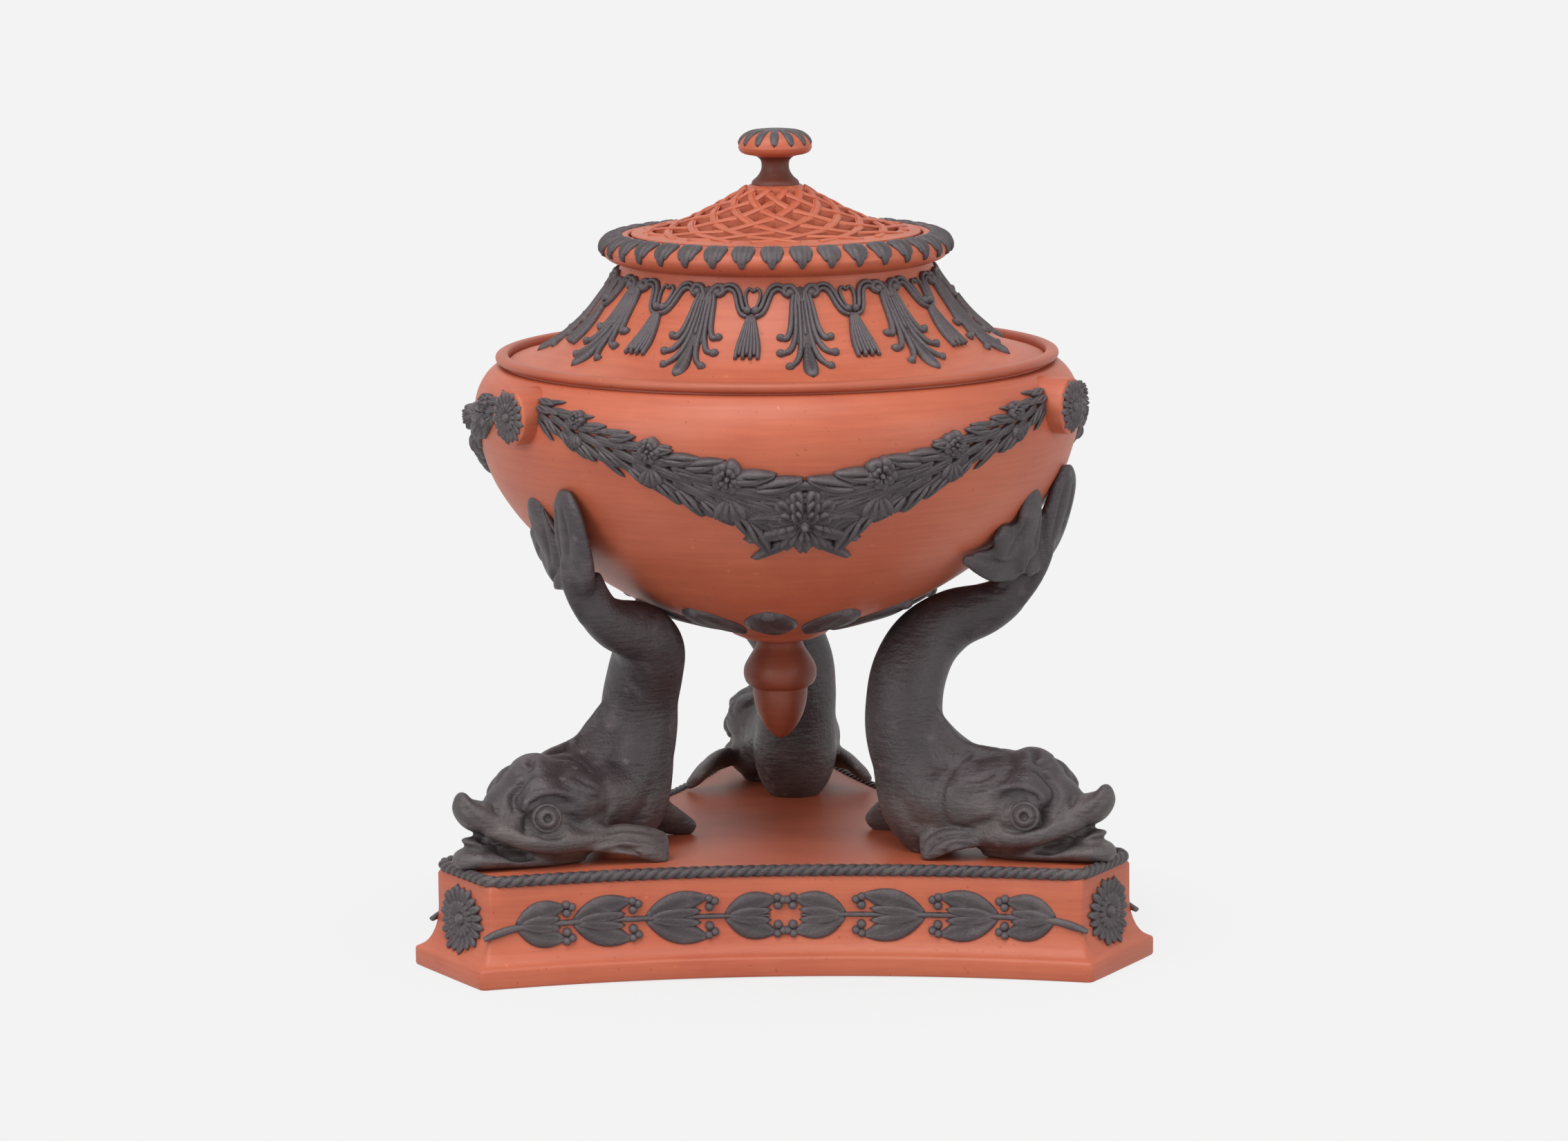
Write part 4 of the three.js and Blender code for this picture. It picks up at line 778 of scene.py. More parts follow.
class BURNER_OT_corner_daisies(bpy.types.Operator):
    """Adds the daisies on the plinth's cut corners"""

    bl_idname = "burner.corner_daisies"
    bl_label = "Corner daisies"

    def execute(self, context):
        radius = millimetres("corner_daisy")
        for name, direction in CORNERS.items():
            bm = bmesh.new()
            daisy(bm, corner_patch(direction, RELIEF_HEIGHT - 0.1), radius, 20, 0.9)
            finished(bm, "corner_daisy_" + name, "stand", ["corner_rosette_" + name])
        return {"FINISHED"}


class BURNER_OT_laurel(bpy.types.Operator):
    """Adds the laurel sprays on the plinth's hollow sides"""

    bl_idname = "burner.laurel"
    bl_label = "Laurel sprays"

    def execute(self, context):
        for name, direction in SIDES.items():
            for half, hand in (("west", -1), ("east", 1)):
                bm = bmesh.new()
                put = side_patch(direction, RELIEF_HEIGHT + 0.1)
                # Stem that thins from the corner to the middle
                band(bm, put, [(hand * x, y, width) for x, y, width in (
                    (52.6, -2, 0.9), (50, -1.2, 1.5), (47, -0.5, 1.4), (37, 0, 1.1), (24, 0, 1), (11, 0, 0.9),
                    (2.6, 0, 0.5))], 0.75, steps=8)
                for x, reach in ((47, 9.4), (37.1, 11.2), (24.4, 11.8), (10.6, 9.7)):
                    for fold in (-1, 1):
                        # A broad leaf, a narrow one inside it, and the berries between their tips and the next leaves
                        leaf(bm, put, reach, 4.3, 1.05, heading=-hand * (90 - fold * 25), bend=-hand * fold * 17,
                             start=(hand * x, fold * 0.25), fullest=0.5, blunt=0.85, vein=0.35, segments=20, rings=14)
                        leaf(bm, put, reach * 0.8, 2.5, 1.3, heading=-hand * (90 - fold * 9),
                             bend=-hand * fold * 6, start=(hand * (x - 0.6), fold * 0.1), fullest=0.5, vein=0.3)
                        for dx, dy, size in ((0.3, 1.7, 0.85), (1.2, 2.7, 0.8), (0.2, 3.2, 0.8)):
                            bead(bm, put, hand * (x - reach * 0.93 - dx), fold * dy, size, 1)
                finished(bm, "laurel_spray_%s_%s" % (name, half), "stand", ["laurel_%s_%s" % (name, half)])
        return {"FINISHED"}


class BURNER_OT_dolphins(bpy.types.Operator):
    """Adds the three dolphins that carry the bowl"""

    bl_idname = "burner.dolphins"
    bl_label = "Dolphins"

    def execute(self, context):
        voxel = millimetres("dolphin_detail") * 1
        both = [([(x, hand * y, z) for x, y, z in points], width, depth)
                for points, width, depth in DOLPHIN_GROOVES for hand in (-1, 1)]
        for name, direction in CORNERS.items():
            bm = bmesh.new()
            dolphin_forms(bm, DOLPHIN_FINS[name])
            bm = fused(bm, voxel)
            carved(bm, both + FIN_GROOVES[name] + FLUKE_GROOVES)
            smoothed(bm, 0.4)
            for v in bm.verts:
                v.co.z = max(v.co.z, PLINTH_TOP)
            for hand in (-1, 1):
                eye(bm, hand)
            finished(bm, "dolphin_figure_" + name, "stand", ["dolphin_" + name],
                     material=basalt("black basalt, modelled dolphin skin", scaly=True), turn=direction,
                     recalculate=False)
        return {"FINISHED"}


class BURNER_OT_bowl(bpy.types.Operator):
    """Adds the bowl and its rim ring"""

    bl_idname = "burner.bowl"
    bl_label = "Bowl"

    def execute(self, context):
        wall = millimetres("bowl_wall")
        surface = TurnedSurface(BOWL_WALL)
        inside = [surface.put(0, along, -wall) for along in np.linspace(3, surface.along[-1] - 5.5, 40)]
        profile = [(0, 53.8), (4, 53.8), (6.6, 54.4), (8.6, 55.3), *BOWL_WALL.tolist(), (50, 104.5),
                   (49, 104.6), (48.9, 105.2), (45.6, 104.4), (45.5, 103.6), (45.5, 101.4),
                   *[(p[0], p[2]) for p in reversed(inside)], (0, inside[0][2] - 0.4)]
        finished(spun(profile), "bowl_body", "stand", ["bowl"], "redware", sharp=35)
        ring = [(48.9, 105), (49.6, 105.02), (50.2, 105.3), (50.45, 105.85), (50.3, 106.35), (49.7, 106.7),
                (48.8, 106.75), (48.25, 106.5), (48.2, 104.1), (48.6, 104), (48.9, 105)]
        finished(spun(smooth(ring[:-2], 3).tolist() + ring[-2:]), "bowl_rim_ring", "stand", ["bowl"], "redware",
                 red_stoneware("red stoneware, darker slip band", 0.85), sharp=60)
        return {"FINISHED"}


class BURNER_OT_acorn(bpy.types.Operator):
    """Adds the acorn drop under the bowl"""

    bl_idname = "burner.acorn"
    bl_label = "Acorn drop"

    def execute(self, context):
        cap = smooth([(4, 53.78), (4.4, 52.6), (5.5, 50.8), (6.45, 49), (6.6, 47.6), (6.3, 46.4), (5.9, 45.8)], 5)
        nut = smooth([(4.9, 45.1), (4.8, 43), (4.1, 40.3), (2.8, 37.9), (1.2, 36.2), (0.01, 35.6)], 5)
        profile = [(0, 53.78), *cap.tolist(), (5.3, 45.45), *nut.tolist()]
        # The acorn's clay is darkened to 0.55 of its colour: painted shade, as the acorn hangs in shadow under the
        # bowl among the dolphins
        finished(spun(profile, 96), "acorn_turned", "stand", ["acorn_drop"], "redware",
                 red_stoneware("red stoneware, acorn with painted shade", 0.55), sharp=40)
        return {"FINISHED"}


class BURNER_OT_calyx(bpy.types.Operator):
    """Adds the collar of lobed leaves under the bowl"""

    bl_idname = "burner.calyx"
    bl_label = "Leaves under the bowl"

    def execute(self, context):
        surface = TurnedSurface(BOWL_WALL)
        bm = bmesh.new()
        for i in range(CALYX_LEAVES):
            put = surface.patch(-155 + 360 / CALYX_LEAVES * i, 1.6)
            leaf(bm, put, 19, 9.6, 1.1, fullest=0.62, blunt=0.55, vein=0.4, segments=20, rings=16)
            for hand in (-1, 1):
                leaf(bm, put, 14.5, 4.4, 1.0, heading=hand * 17, bend=-hand * 20, start=(hand * 0.8, 1), fullest=0.7,
                     blunt=0.6)
            bead(bm, put, 0, 17.6, 1.5, 1.3)
        finished(bm, "lobed_leaves", "stand", ["leaf_calyx"])
        return {"FINISHED"}


class BURNER_OT_bosses(bpy.types.Operator):
    """Adds the round bosses on the bowl and the daisies on them"""

    bl_idname = "burner.bosses"
    bl_label = "Bosses"

    def execute(self, context):
        edge = smooth([(5, 0), (5, 2.2), (4.9, 2.7), (4.4, 2.95), (3.4, 2.8), (0.01, 2.7)], 4)
        for name, direction in CORNERS.items():
            boss = spun([(0, -6), (5.05, -6), *edge.tolist()], 64)
            to_wall = Matrix.Translation((BOSS_OUT, 0, BOSS_HEIGHT)) @ Matrix.Rotation(math.pi / 2, 4, "Y")
            bmesh.ops.transform(boss, verts=boss.verts, matrix=to_wall)
            finished(boss, "boss_disc_" + name, "stand", ["boss_" + name], "redware", sharp=50,
                     turn=direction + BOSS_TURN)
            bm = bmesh.new()
            daisy(bm, lambda x, y, lift: np.stack([BOSS_OUT + 2.75 + lift, x, BOSS_HEIGHT + y], -1), 4.9, 18, 0.75,
                  twist=6)
            finished(bm, "boss_daisy_" + name, "stand", ["boss_rosette_" + name], turn=direction + BOSS_TURN)
        return {"FINISHED"}


class BURNER_OT_garlands(bpy.types.Operator):
    """Adds the garlands of leaves and flowers between the bosses"""

    bl_idname = "burner.garlands"
    bl_label = "Garlands"

    def execute(self, context):
        surface = TurnedSurface(BOWL_WALL)
        # Degrees from the middle to an end, heights of the middle and of the ends, and half width in the middle
        span, low, high, widest = 54.3, 84, 100.6, 6.2

        def middle(degrees):
            """How far up the wall the garland's middle line lies, and the garland's half width there."""
            share = min(1, abs(degrees) / span)
            rise = share**1.5 + 0.15 * math.sin(math.pi * share)
            return (surface.at_height(min(low + (high - low) * rise, high)),
                    widest - 2.9 * min(1, share / 0.65) ** 1.3 - 2 * max(0, share - 0.65))

        def slope(degrees):
            """The garland's slope towards its middle."""
            fall = middle(degrees)[0] - middle(max(0, degrees - 8))[0]
            return math.degrees(math.atan2(fall, math.radians(min(8, degrees + 0.1)) * 54))

        bm = bmesh.new()
        for hand in (-1, 1):
            # Long fluted leaves bound in a bundle
            for k in range(15):
                degrees = 55.5 - 3.8 * k
                along, half = middle(degrees)
                size = half / widest
                for j, share in enumerate((-0.62, -0.36, -0.12, 0.12, 0.36, 0.62)):
                    leaf(bm, surface.patch(hand * degrees, along + share * half * 0.86), 11.5 * size + 1.5,
                         2.5 * size, 2.3 * size * (1 - 0.9 * share * share),
                         heading=-hand * (90 + slope(degrees) - 16 * share + 5 * (-1) ** (j + k)),
                         bend=hand * 18 * share, fullest=0.45, blunt=0.6, vein=0.35, tip_lift=0.3)
            # Pointed leaves that stand out above and below: degrees to the foot, share up, turn up
            for degrees, up, turn in ((9.5, 0.5, 24), (14, 0.6, 20), (22, 0.5, 24), (26, 0.5, 18), (30.5, 0.55, 16),
                                      (37, 0.5, 20), (43, 0.4, 20), (49, 0.4, 18), (56, 0.6, 6), (56, 0.1, 4),
                                      (11, -0.6, -38), (14, -0.45, -30), (19.5, -0.5, -18), (24, -0.5, -24),
                                      (28, -0.5, -22), (33, -0.5, -18), (39, -0.3, -12), (44, -0.5, -18),
                                      (48, -0.4, -22), (52.5, -0.3, -14)):
                along, half = middle(degrees)
                size = 0.55 + 0.45 * (half - 3.2) / 3
                heading = -hand * (90 + slope(degrees) - turn)
                put = surface.patch(hand * degrees, along + up * half)
                leaf(bm, put, 9.8 * size, 3.5 * size, 2.4 * size, heading=heading, bend=hand * turn * 0.5,
                     fullest=0.42, blunt=0.75, vein=0.5, tip_lift=0.5, segments=18, rings=12)
                leaf(bm, put, 7.6 * size, 1.3 * size, 2.8 * size, heading=heading - hand * 5, bend=hand * turn * 0.5,
                     fullest=0.4, vein=0.1)
            # Roses bound in at the upper edge, and a lobed leaf under each
            for degrees in (13.9, 28.4, 44.2):
                along, half = middle(degrees)
                radius, bulk = 0.56 * half, 0.5 + 0.5 * half / 6.6
                put = surface.patch(hand * degrees, along + 0.68 * half)
                for count, reach, wide, rise in ((5, 1, 1.15, 2.6), (4, 0.62, 0.8, 3.2)):
                    for i in range(count):
                        leaf(bm, put, radius * reach, radius * wide, rise * bulk,
                             heading=360 * i / count + 25, bend=30, fullest=0.66, blunt=0.4, vein=0.3)
                bead(bm, put, 0, 0, 0.24 * radius, 3 * bulk)
                put = surface.patch(hand * degrees, along)
                for swing in (-28, 0, 28):
                    leaf(bm, put, 0.95 * half, 0.62 * half, 2.7 * (0.4 + 0.6 * half / widest), heading=180 + swing,
                         fullest=0.6, blunt=0.55, vein=0.4, tip_lift=0.2)
        # The full-blown flower in the middle
        put = surface.patch(0, surface.at_height(83.4))
        for count, reach, wide, rise in ((11, 6.4, 3, 2.4), (8, 4.7, 2.9, 3), (5, 3, 2.6, 3.4)):
            for i in range(count):
                leaf(bm, put, reach, wide, rise, heading=360 * (i + 0.5) / count, fullest=0.7, blunt=0.5, vein=0.45,
                     start=polar(0.3, 360 * (i + 0.5) / count), tip_lift=0.3)
        bead(bm, put, 0, 0, 1, 3.6)
        for name, direction in SIDES.items():
            finished(bm.copy(), "garland_swag_" + name, "stand", ["garland_" + name], turn=direction + BOSS_TURN)
        bm.free()
        return {"FINISHED"}


class BURNER_OT_cover(bpy.types.Operator):
    """Adds the cover with its moulded collar"""

    bl_idname = "burner.cover"
    bl_label = "Cover"

    def execute(self, context):
        surface = TurnedSurface(COVER_WALL)
        inside = [surface.put(0, along, -2.6) for along in np.linspace(6.5, surface.along[-1] - 1, 24)]
        profile = [(45.1, 103.75), (47.7, 103.8), (47.85, 104.2), *COVER_WALL.tolist(), *COLLAR.tolist()[1:],
                   (26.6, 127.6), (26.4, 127.4), (26.4, 125.5), (24.4, 125.4), (24.4, 122.6),
                   *[(max(p[0], 24.4), p[2]) for p in reversed(inside)], (42.9, 103.6), (42.9, 99.7), (43.1, 99.5),
                   (44.9, 99.5), (45.1, 99.7), (45.1, 103.75)]
        finished(spun(profile), "cover_body", "cover", ["cover"], "redware", sharp=40)
        return {"FINISHED"}


class BURNER_OT_leaf_border(bpy.types.Operator):
    """Adds the border of pointed leaves on the cover's collar"""

    bl_idname = "burner.leaf_border"
    bl_label = "Leaf border"

    def execute(self, context):
        surface = TurnedSurface(COLLAR)
        top = surface.along[-1] + 0.1
        bm = bmesh.new()
        for i in range(BORDER_LEAVES):
            put = surface.patch(-92.2 + 360 * i / BORDER_LEAVES, top)
            leaf(bm, put, 6.2, 2.4, 1.0, heading=180, fullest=0.48, blunt=0.7, vein=0.45, segments=12, rings=12)
            for hand in (-1, 1):
                leaf(bm, put, 4.8, 2.1, 0.8, heading=180 - hand * 5, bend=hand * 10, start=(hand * 0.95, -0.1),
                     fullest=0.45, blunt=0.6, vein=0.3, segments=12)
        finished(bm, "collar_leaves", "cover", ["leaf_border"])
        return {"FINISHED"}


class BURNER_OT_frieze(bpy.types.Operator):
    """Adds the palmettes, tassels and scrolls on the cover"""

    bl_idname = "burner.frieze"
    bl_label = "Palmettes and tassels"

    def execute(self, context):
        surface = TurnedSurface(np.vstack([COVER_WALL, COLLAR[1:9]]))
        top = surface.at_height(COVER_WALL[-1][1])
        palmette, tassel = bmesh.new(), bmesh.new()
        put = surface.patch(0, top)

        def strand(bm, hand, points, rise=0.85):
            """A raised strand through (aside, down, width) points, mirrored by its hand."""
            band(bm, put, [(hand * x, -y, width) for x, y, width in points], rise, steps=4, count=8)

        # Palmette: a fluted stem whose flutes run out into fronds with curled ends, and a long middle leaf
        leaf(palmette, put, 13, 4.6, 0.5, heading=180, start=(0, -2.4), fullest=0.5, blunt=0.4, vein=0)
        for hand in (-1, 1):
            for points, end in ((((1.35, 3.2, 0.8), (1.75, 5.2, 0.9), (2.1, 8, 1), (2.6, 10.6, 1.1), (3.5, 12.3, 1.15),
                                  (4.3, 12.2, 0.8)), (4.35, 12, 0.8)),
                                (((0.85, 3.2, 0.75), (1.15, 5.2, 0.85), (1.4, 9, 0.95), (1.95, 12.4, 1.05),
                                  (3.2, 15.1, 1.15), (4.6, 15.9, 0.8)), (4.75, 15.6, 0.85)),
                                (((0.35, 3.2, 0.7), (0.5, 5.2, 0.8), (0.75, 10, 0.9), (1.05, 13.7, 1),
                                  (1.85, 17, 1.15), (3.4, 19.2, 0.8)), (3.6, 19, 0.8))):
                strand(palmette, hand, points)
                bead(palmette, put, hand * end[0], -end[1], end[2], 1)
            # Volutes at the head
            strand(palmette, hand, ((0.3, 5, 0.8), (0.6, 3.2, 1.1), (1.5, 1.8, 1.2), (2.5, 1.8, 1.2),
                                    (2.9, 3, 1.1), (2.1, 3.7, 0.8)), 1)
            bead(palmette, put, hand * 1.9, -3, 0.95, 1.2)
        leaf(palmette, put, 5, 3, 0.9, heading=180, start=(0, -1.6), fullest=0.55, blunt=0.5, vein=0.4)
        leaf(palmette, put, 12.6, 2.7, 1.15, heading=180, start=(0, -10), fullest=0.74, blunt=0.6, vein=0.35,
             segments=16, rings=14)
        strand(palmette, 1, ((0, 3.4, 0.5), (0, 8, 0.6), (0, 11.6, 0.8)))
        # Tassel: grooved festoons from both sides, a heart-shaped loop where they meet, and a fluted bell
        for hand in (-1, 1):
            strand(tassel, hand, ((5.6, 2.1, 0.6), (4.3, 1.4, 0.95), (3.1, 1.8, 1), (2.3, 3.2, 0.95), (1.9, 4.8, 0.9),
                                  (1.4, 6.2, 0.9), (0.6, 6.7, 0.8)))
            strand(tassel, hand, ((5.4, 3, 0.5), (4.3, 2.3, 0.9), (3.4, 2.8, 0.9), (2.9, 4.2, 0.85),
                                  (2.5, 5.8, 0.85), (1.8, 7.2, 0.8), (0.7, 7.8, 0.7)))
            strand(tassel, hand, ((0, 2.7, 0.6), (0.7, 2.1, 0.65), (1.25, 2.9, 0.65), (1.15, 4.6, 0.65),
                                  (0.7, 6, 0.6)), 0.7)
            bead(tassel, put, hand * 0.7, -6.5, 0.85, 1.2)
        for k in range(-3, 4):
            x = (0.18 * k, 0.4 * k, 0.58 * k, 0.66 * k)
            strand(tassel, 1, ((x[0], 7.8, 0.6), (x[1], 11, 0.85), (x[2], 14.2, 1),
                               (x[3], 16.2 + 0.8 * (k % 2), 0.7)), 1.15 - 0.08 * abs(k))
        for i in range(FRIEZE_REPEATS):
            turn = -82.5 + 360 * i / FRIEZE_REPEATS
            for kind, bm, shift, label in (("anthemion", palmette, 0, "palmette"),
                                           ("tassel", tassel, 180 / FRIEZE_REPEATS, "tassel_relief")):
                finished(bm.copy(), "%s_%d" % (label, i + 1), "cover", ["%s_%d" % (kind, i + 1)],
                         turn=turn + shift)
        palmette.free()
        tassel.free()
        return {"FINISHED"}


class BURNER_OT_pierced_lid(bpy.types.Operator):
    """Adds the lid pierced with a lattice of crossing straps"""

    bl_idname = "burner.pierced_lid"
    bl_label = "Pierced lid"

    def execute(self, context):
        strap = millimetres("lattice_strap")
        # Radius of the first row of crossings, distance between rows, ends of the openings, and turn per row
        first, pitch, outer, inner, swing = 6.02, 2.28, 23.4, 5.1, 180 / LATTICE_SPIRALS
        under = TurnedSurface(LID_CONE).put(0, np.linspace(2.4, 24, 10), -2.3)[:, (0, 2)].tolist()
        profile = [(0, 136.2), *reversed(LID_CONE.tolist()), (25.9, 127.6), (25.5, 127.3), (25.5, 126.9),
                   (26.05, 126.7), (26.05, 125.75), (24.05, 125.7), (24.05, 122.1), (23.1, 122.1), (23.1, 125.5),
                   *under, (0, under[-1][1])]
        lid = finished(spun(profile, 144), "pierced_lid_body", "lid", ["pierced_lid"], "redware", sharp=40)

        def knot(row, place):
            """A crossing of the lattice."""
            return turned((first + pitch * row, 0, 0), -91 + swing * place)

        def ended(side, tip, radius):
            """Where the line between two crossings meets a radius."""
            return side.lerp(tip, (radius - side.length) / (tip.length - side.length))

        cuts = bmesh.new()
        bottom, depth = Vector((0, 0, 118)), 24
        for row in range(8):
            for i in range(LATTICE_SPIRALS):
                place = 2 * i + row % 2
                left, right, near, far = (knot(row, place - 1), knot(row, place + 1), knot(row - 1, place),
                                          knot(row + 1, place))
                corners = [left] + ([ended(left, near, inner), ended(right, near, inner)] if near.length < inner
                                    else [near])
                corners += [right] + ([ended(right, far, outer), ended(left, far, outer)] if far.length > outer
                                      else [far])
                shape = []
                for k, point in enumerate(corners):
                    before = (point - corners[k - 1]).normalized()
                    after = (corners[(k + 1) % len(corners)] - point).normalized()
                    inward = Vector((-before.y - after.y, before.x + after.x, 0))
                    shape.append(point - inward * strap / 2 / (1 + before.dot(after)))
                # The opening is a prism that narrows downwards
                face = cuts.faces.new([cuts.verts.new(p + bottom) for p in shape])
                lower = list(face.verts)
                made = bmesh.ops.extrude_face_region(cuts, geom=[face])["geom"]
                centre = sum(shape, Vector()) / len(shape)
                for v in (g for g in made if isinstance(g, bmesh.types.BMVert)):
                    v.co.z += depth
                for v in lower:
                    v.co = (centre + (v.co - centre) * 0.86).xy.to_3d() + bottom
        bmesh.ops.recalc_face_normals(cuts, faces=cuts.faces)
        bmesh.ops.transform(cuts, verts=cuts.verts, matrix=TO_FRAME)
        cutter = placed("cuts", mesh_of(cuts, "cuts"))
        boolean = lid.modifiers.new("pierce", "BOOLEAN")
        boolean.operation, boolean.solver, boolean.object = "DIFFERENCE", "EXACT", cutter
        pierced = bpy.data.meshes.new_from_object(lid.evaluated_get(context.evaluated_depsgraph_get()))
        lid.modifiers.clear()
        lid.data = pierced
        bpy.data.objects.remove(cutter)
        # Rounded straps that run out in spirals both ways, each over the edge of the openings
        surface = TurnedSurface(LID_CONE)
        radii = np.arange(5.4, 23.6, 0.35)
        alongs = np.interp(radii, surface.line[::-1, 0], surface.along[::-1])
        bm = bmesh.new()
        for i in range(LATTICE_SPIRALS):
            for hand in (-1, 1):
                rings = []
                for radius, row, along in zip(radii, (radii - first) / pitch, alongs):
                    over = 0.12 * math.cos(math.pi * row + (math.pi if hand > 0 else 0)) - 0.02
                    put = surface.patch(-76 + 2 * swing * i + hand * swing * row, along)
                    wide = math.atan2(hand * math.radians(swing) * radius, pitch)
                    rings.append([put(strap / 2 * math.cos(a) * math.cos(wide), strap / 2 * math.cos(a)
                                      * math.sin(wide), over + 0.3 * math.sin(a))
                                  for a in np.arange(8) * math.pi / 4])
                skinned(bm, rings)
        finished(bm, "lattice_straps", "lid", ["pierced_lid"], "redware")
        return {"FINISHED"}


class BURNER_OT_knob(bpy.types.Operator):
    """Adds the mushroom knob and the strap leaves on it"""

    bl_idname = "burner.knob"
    bl_label = "Knob"

    def execute(self, context):
        stem = smooth([(4.3, 136.25), (4.15, 136.8), (3.2, 137.7), (2.6, 138.7), (2.45, 139.6), (2.65, 140.6),
                       (3.4, 141.3)], 5)
        # The stem's clay is darkened to 0.24 of its colour: painted shade for the deep shadow under the knob's cap
        finished(spun([(0, 136.25), *stem.tolist(), (3.4, 141.6), (0, 141.6)], 96), "knob_stem", "lid", ["knob"],
                 "dark_redware", red_stoneware("red stoneware, stem with painted shade", 0.24, 0.55), sharp=60)
        under = smooth([(3.2, 141.2), (4.4, 141.5), (5.6, 141.75), (6.3, 142.2), (6.6, 142.9)], 4)
        finished(spun([(0, 141.2), *under.tolist(), *KNOB_DOME.tolist()[1:]], 96), "knob_cap", "lid", ["knob"],
                 "dark_redware", sharp=60)
        surface = TurnedSurface(KNOB_DOME)
        top = surface.along[-1]
        bm = bmesh.new()
        for i in range(KNOB_LEAVES):
            leaf(bm, surface.patch(-92 + 360 * i / KNOB_LEAVES, top - 2.2), 5.5, 1.6, 0.4, heading=180, fullest=0.6,
                 blunt=0.4, vein=0.2, sink=0.2)
        joined(bm, spun([(0, 145.6), (2.9, 145.6), (2.95, 145.95), (2.4, 146.12), (0, 146.2)], 48))
        finished(bm, "knob_strap_leaves", "lid", ["knob_leaves"])
        return {"FINISHED"}


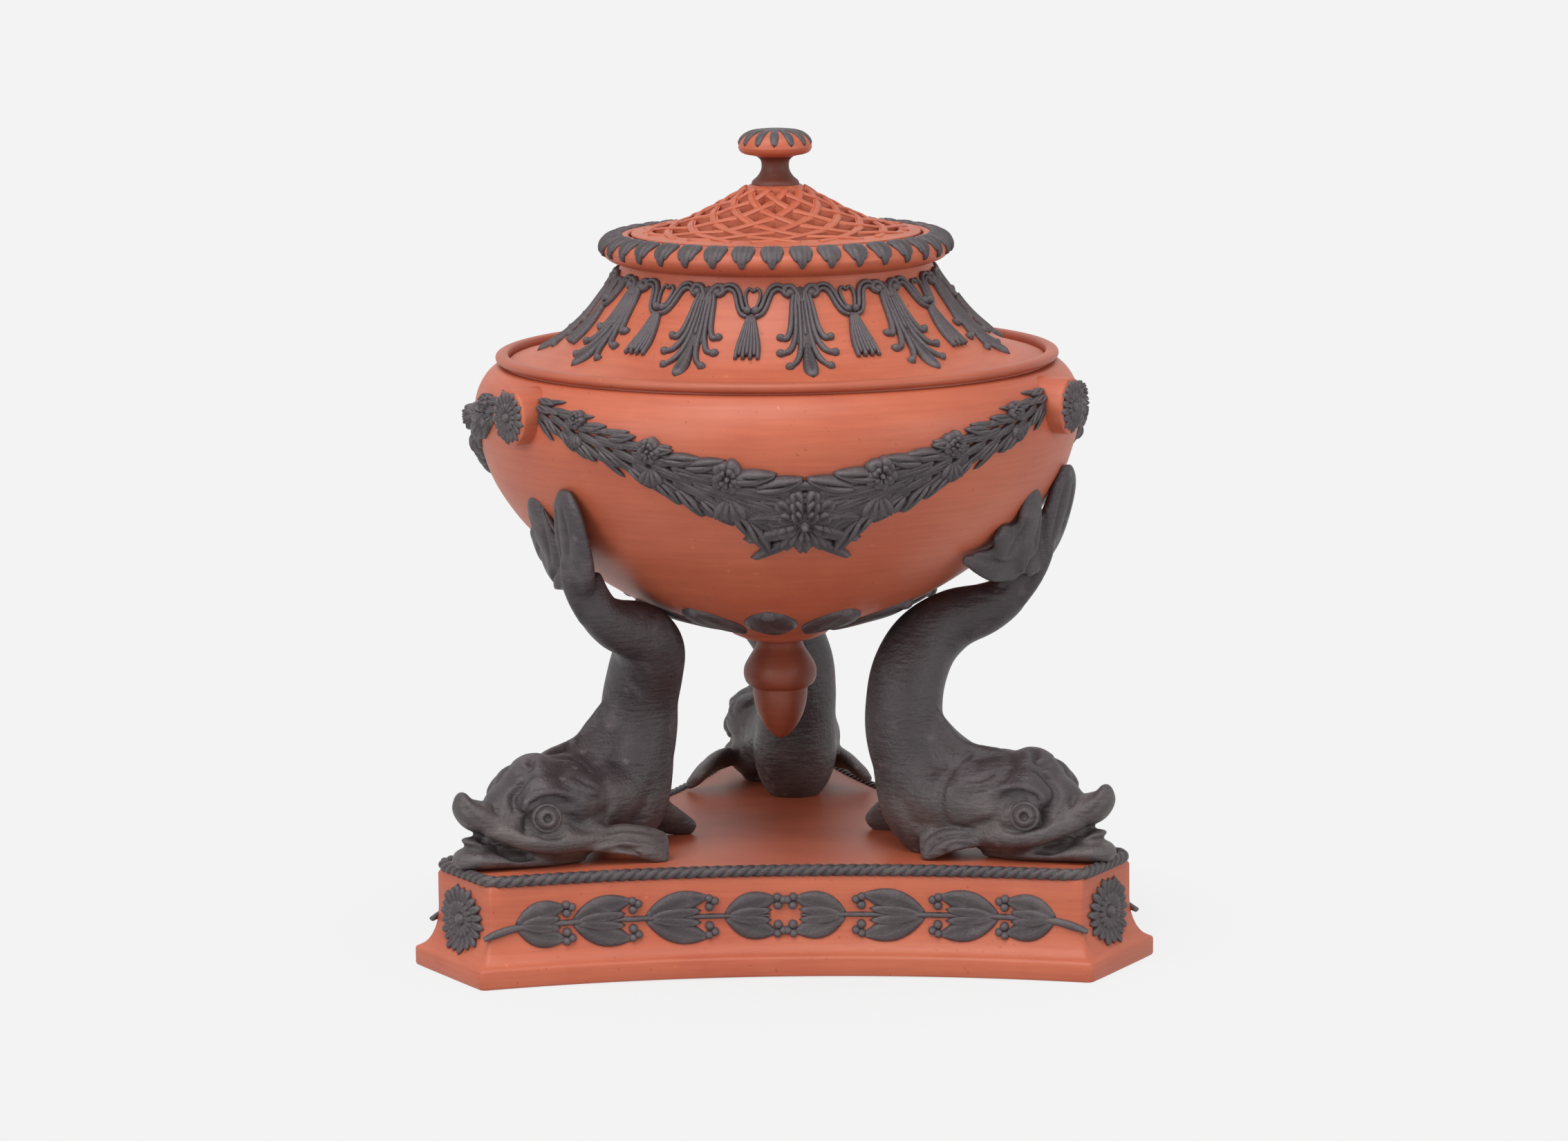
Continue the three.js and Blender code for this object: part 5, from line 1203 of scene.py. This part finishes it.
class BURNER_OT_stage(bpy.types.Operator):
    """Adds the pale floor, the soft lamps and the camera"""

    bl_idname = "burner.stage"
    bl_label = "Studio"

    def execute(self, context):
        scene = context.scene
        background = (*scene.burner_colours.background, 1)

        def seen(tree):
            """Whether a ray comes from the camera, straight or off a sheen."""
            paths = tree.nodes.new("ShaderNodeLightPath").outputs
            return node(tree, "ShaderNodeMath", {0: paths["Is Camera Ray"], 1: paths["Is Glossy Ray"]},
                        operation="MAXIMUM")

        bm = bmesh.new()
        bmesh.ops.create_grid(bm, x_segments=1, y_segments=1, size=8)
        floor = placed("floor", mesh_of(bm, "floor"))
        floor.location.z = -0.0002
        material, world = bpy.data.materials.new("matte paper sweep"), bpy.data.worlds.new("soft studio")
        floor.data.materials.append(material)
        scene.world = world
        for owner in (material, world):
            owner.use_nodes = True
            owner.node_tree.nodes.clear()
        # Matte white paper: it takes the burner's soft shadow, and is evenly pale from 85 mm out
        tree = material.node_tree
        place = node(tree, "ShaderNodeTexCoord", output="Object")
        reach = node(tree, "ShaderNodeVectorMath", {0: place}, "Value", operation="LENGTH")
        far = node(tree, "ShaderNodeMapRange", {"Value": reach, "From Min": 0.05, "From Max": 0.085})
        near_glow = node(tree, "ShaderNodeEmission", {"Color": background, "Strength": 0.86})
        paper = node(tree, "ShaderNodeBsdfDiffuse", {"Color": (0.12, 0.12, 0.12, 1)})
        near = node(tree, "ShaderNodeAddShader", {0: near_glow, 1: paper})
        glow = node(tree, "ShaderNodeEmission", {"Color": background, "Strength": 1.0})
        shown = node(tree, "ShaderNodeMixShader", {0: far, 1: near, 2: glow})
        white = node(tree, "ShaderNodeBsdfDiffuse", {"Color": (0.6, 0.6, 0.6, 1)})
        both = node(tree, "ShaderNodeMixShader", {0: seen(tree), 1: white, 2: shown})
        tree.links.new(both, tree.nodes.new("ShaderNodeOutputMaterial").inputs["Surface"])
        # World: an even soft light, seen as the pale backdrop
        tree = world.node_tree
        soft = node(tree, "ShaderNodeBackground", {"Color": (1, 1, 1, 1), "Strength": 0.24})
        pale = node(tree, "ShaderNodeBackground", {"Color": background, "Strength": 1.0})
        both = node(tree, "ShaderNodeMixShader", {0: seen(tree), 1: soft, 2: pale})
        tree.links.new(both, tree.nodes.new("ShaderNodeOutputWorld").inputs["Surface"])
        # Soft boxes at the left, at the right and overhead, and a low card: place and size in metres, and watts
        for name, place, size, power in (("left soft box", (-0.85, -0.8, 0.5), 0.6, 4.6),
                                         ("right soft box", (0.95, -0.6, 0.35), 0.6, 3.1),
                                         ("overhead soft box", (-0.15, -0.45, 1.05), 0.8, 8.2),
                                         ("low front card", (0.0, -1.2, 0.12), 0.5, 0.6)):
            lamp = bpy.data.lights.new(name, "AREA")
            lamp.energy, lamp.size = power, size
            box = placed(name, lamp)
            box.location = place
            box.rotation_euler = (Vector((0, 0, 0.07)) - Vector(place)).to_track_quat("-Z", "Y").to_euler()
        # Camera about a metre away, slightly above the lid, fitted to the photograph: angles in degrees, millimetres
        turn, rise, roll = (math.radians(a) for a in (-0.883, 9.141, -0.553))
        aim, aside, away, focal_pixels, wide_pixels = Vector((0, 0, 66.383)), 0.871, 1004.98, 8055.48, 2268
        back = Vector((math.sin(turn) * math.cos(rise), -math.cos(turn) * math.cos(rise), math.sin(rise)))
        right = Vector((math.cos(turn), math.sin(turn), 0))
        camera = bpy.data.cameras.new("camera")
        camera.sensor_width = 36
        camera.lens = focal_pixels / wide_pixels * camera.sensor_width
        camera.clip_start, camera.clip_end = 0.05, 50
        view = placed("camera", camera)
        level = Matrix((right, back.cross(right), back)).transposed()
        view.matrix_world = Matrix.Translation((aim + right * aside + back * away) * MM + AXIS) \
            @ (level @ Matrix.Rotation(roll, 3, "Z")).to_4x4()
        scene.camera = view
        scene.view_settings.view_transform = "Standard"
        return {"FINISHED"}


class BURNER_PT_panel(bpy.types.Panel):
    """Lists the burner's pieces in the 3D view's sidebar"""

    bl_label = "Pastille burner"
    bl_idname = "BURNER_PT_panel"
    bl_space_type = "VIEW_3D"
    bl_region_type = "UI"
    bl_category = "Burner"

    def draw(self, context):
        for group in (context.scene.burner_sizes, context.scene.burner_colours):
            for name in group.__annotations__:
                self.layout.prop(group, name)
        for operator in OPERATORS:
            self.layout.operator(operator.bl_idname)


OPERATORS = (BURNER_OT_plinth, BURNER_OT_rope, BURNER_OT_corner_daisies, BURNER_OT_laurel, BURNER_OT_dolphins,
             BURNER_OT_bowl, BURNER_OT_acorn, BURNER_OT_calyx, BURNER_OT_bosses, BURNER_OT_garlands,
             BURNER_OT_cover, BURNER_OT_leaf_border, BURNER_OT_frieze, BURNER_OT_pierced_lid, BURNER_OT_knob,
             BURNER_OT_stage)
CLASSES = (BurnerSizes, BurnerColours, *OPERATORS, BURNER_PT_panel)


def register():
    """Registers the classes and their settings."""
    for cls in CLASSES:
        bpy.utils.register_class(cls)
    bpy.types.Scene.burner_sizes = bpy.props.PointerProperty(type=BurnerSizes)
    bpy.types.Scene.burner_colours = bpy.props.PointerProperty(type=BurnerColours)


def unregister():
    """Removes the classes and their settings."""
    del bpy.types.Scene.burner_sizes
    del bpy.types.Scene.burner_colours
    for cls in reversed(CLASSES):
        bpy.utils.unregister_class(cls)


def main():
    """Builds the burner and its studio."""
    register()
    for operator in OPERATORS:
        group, name = operator.bl_idname.split(".")
        getattr(getattr(bpy.ops, group), name)()


if __name__ == "__main__":
    main()
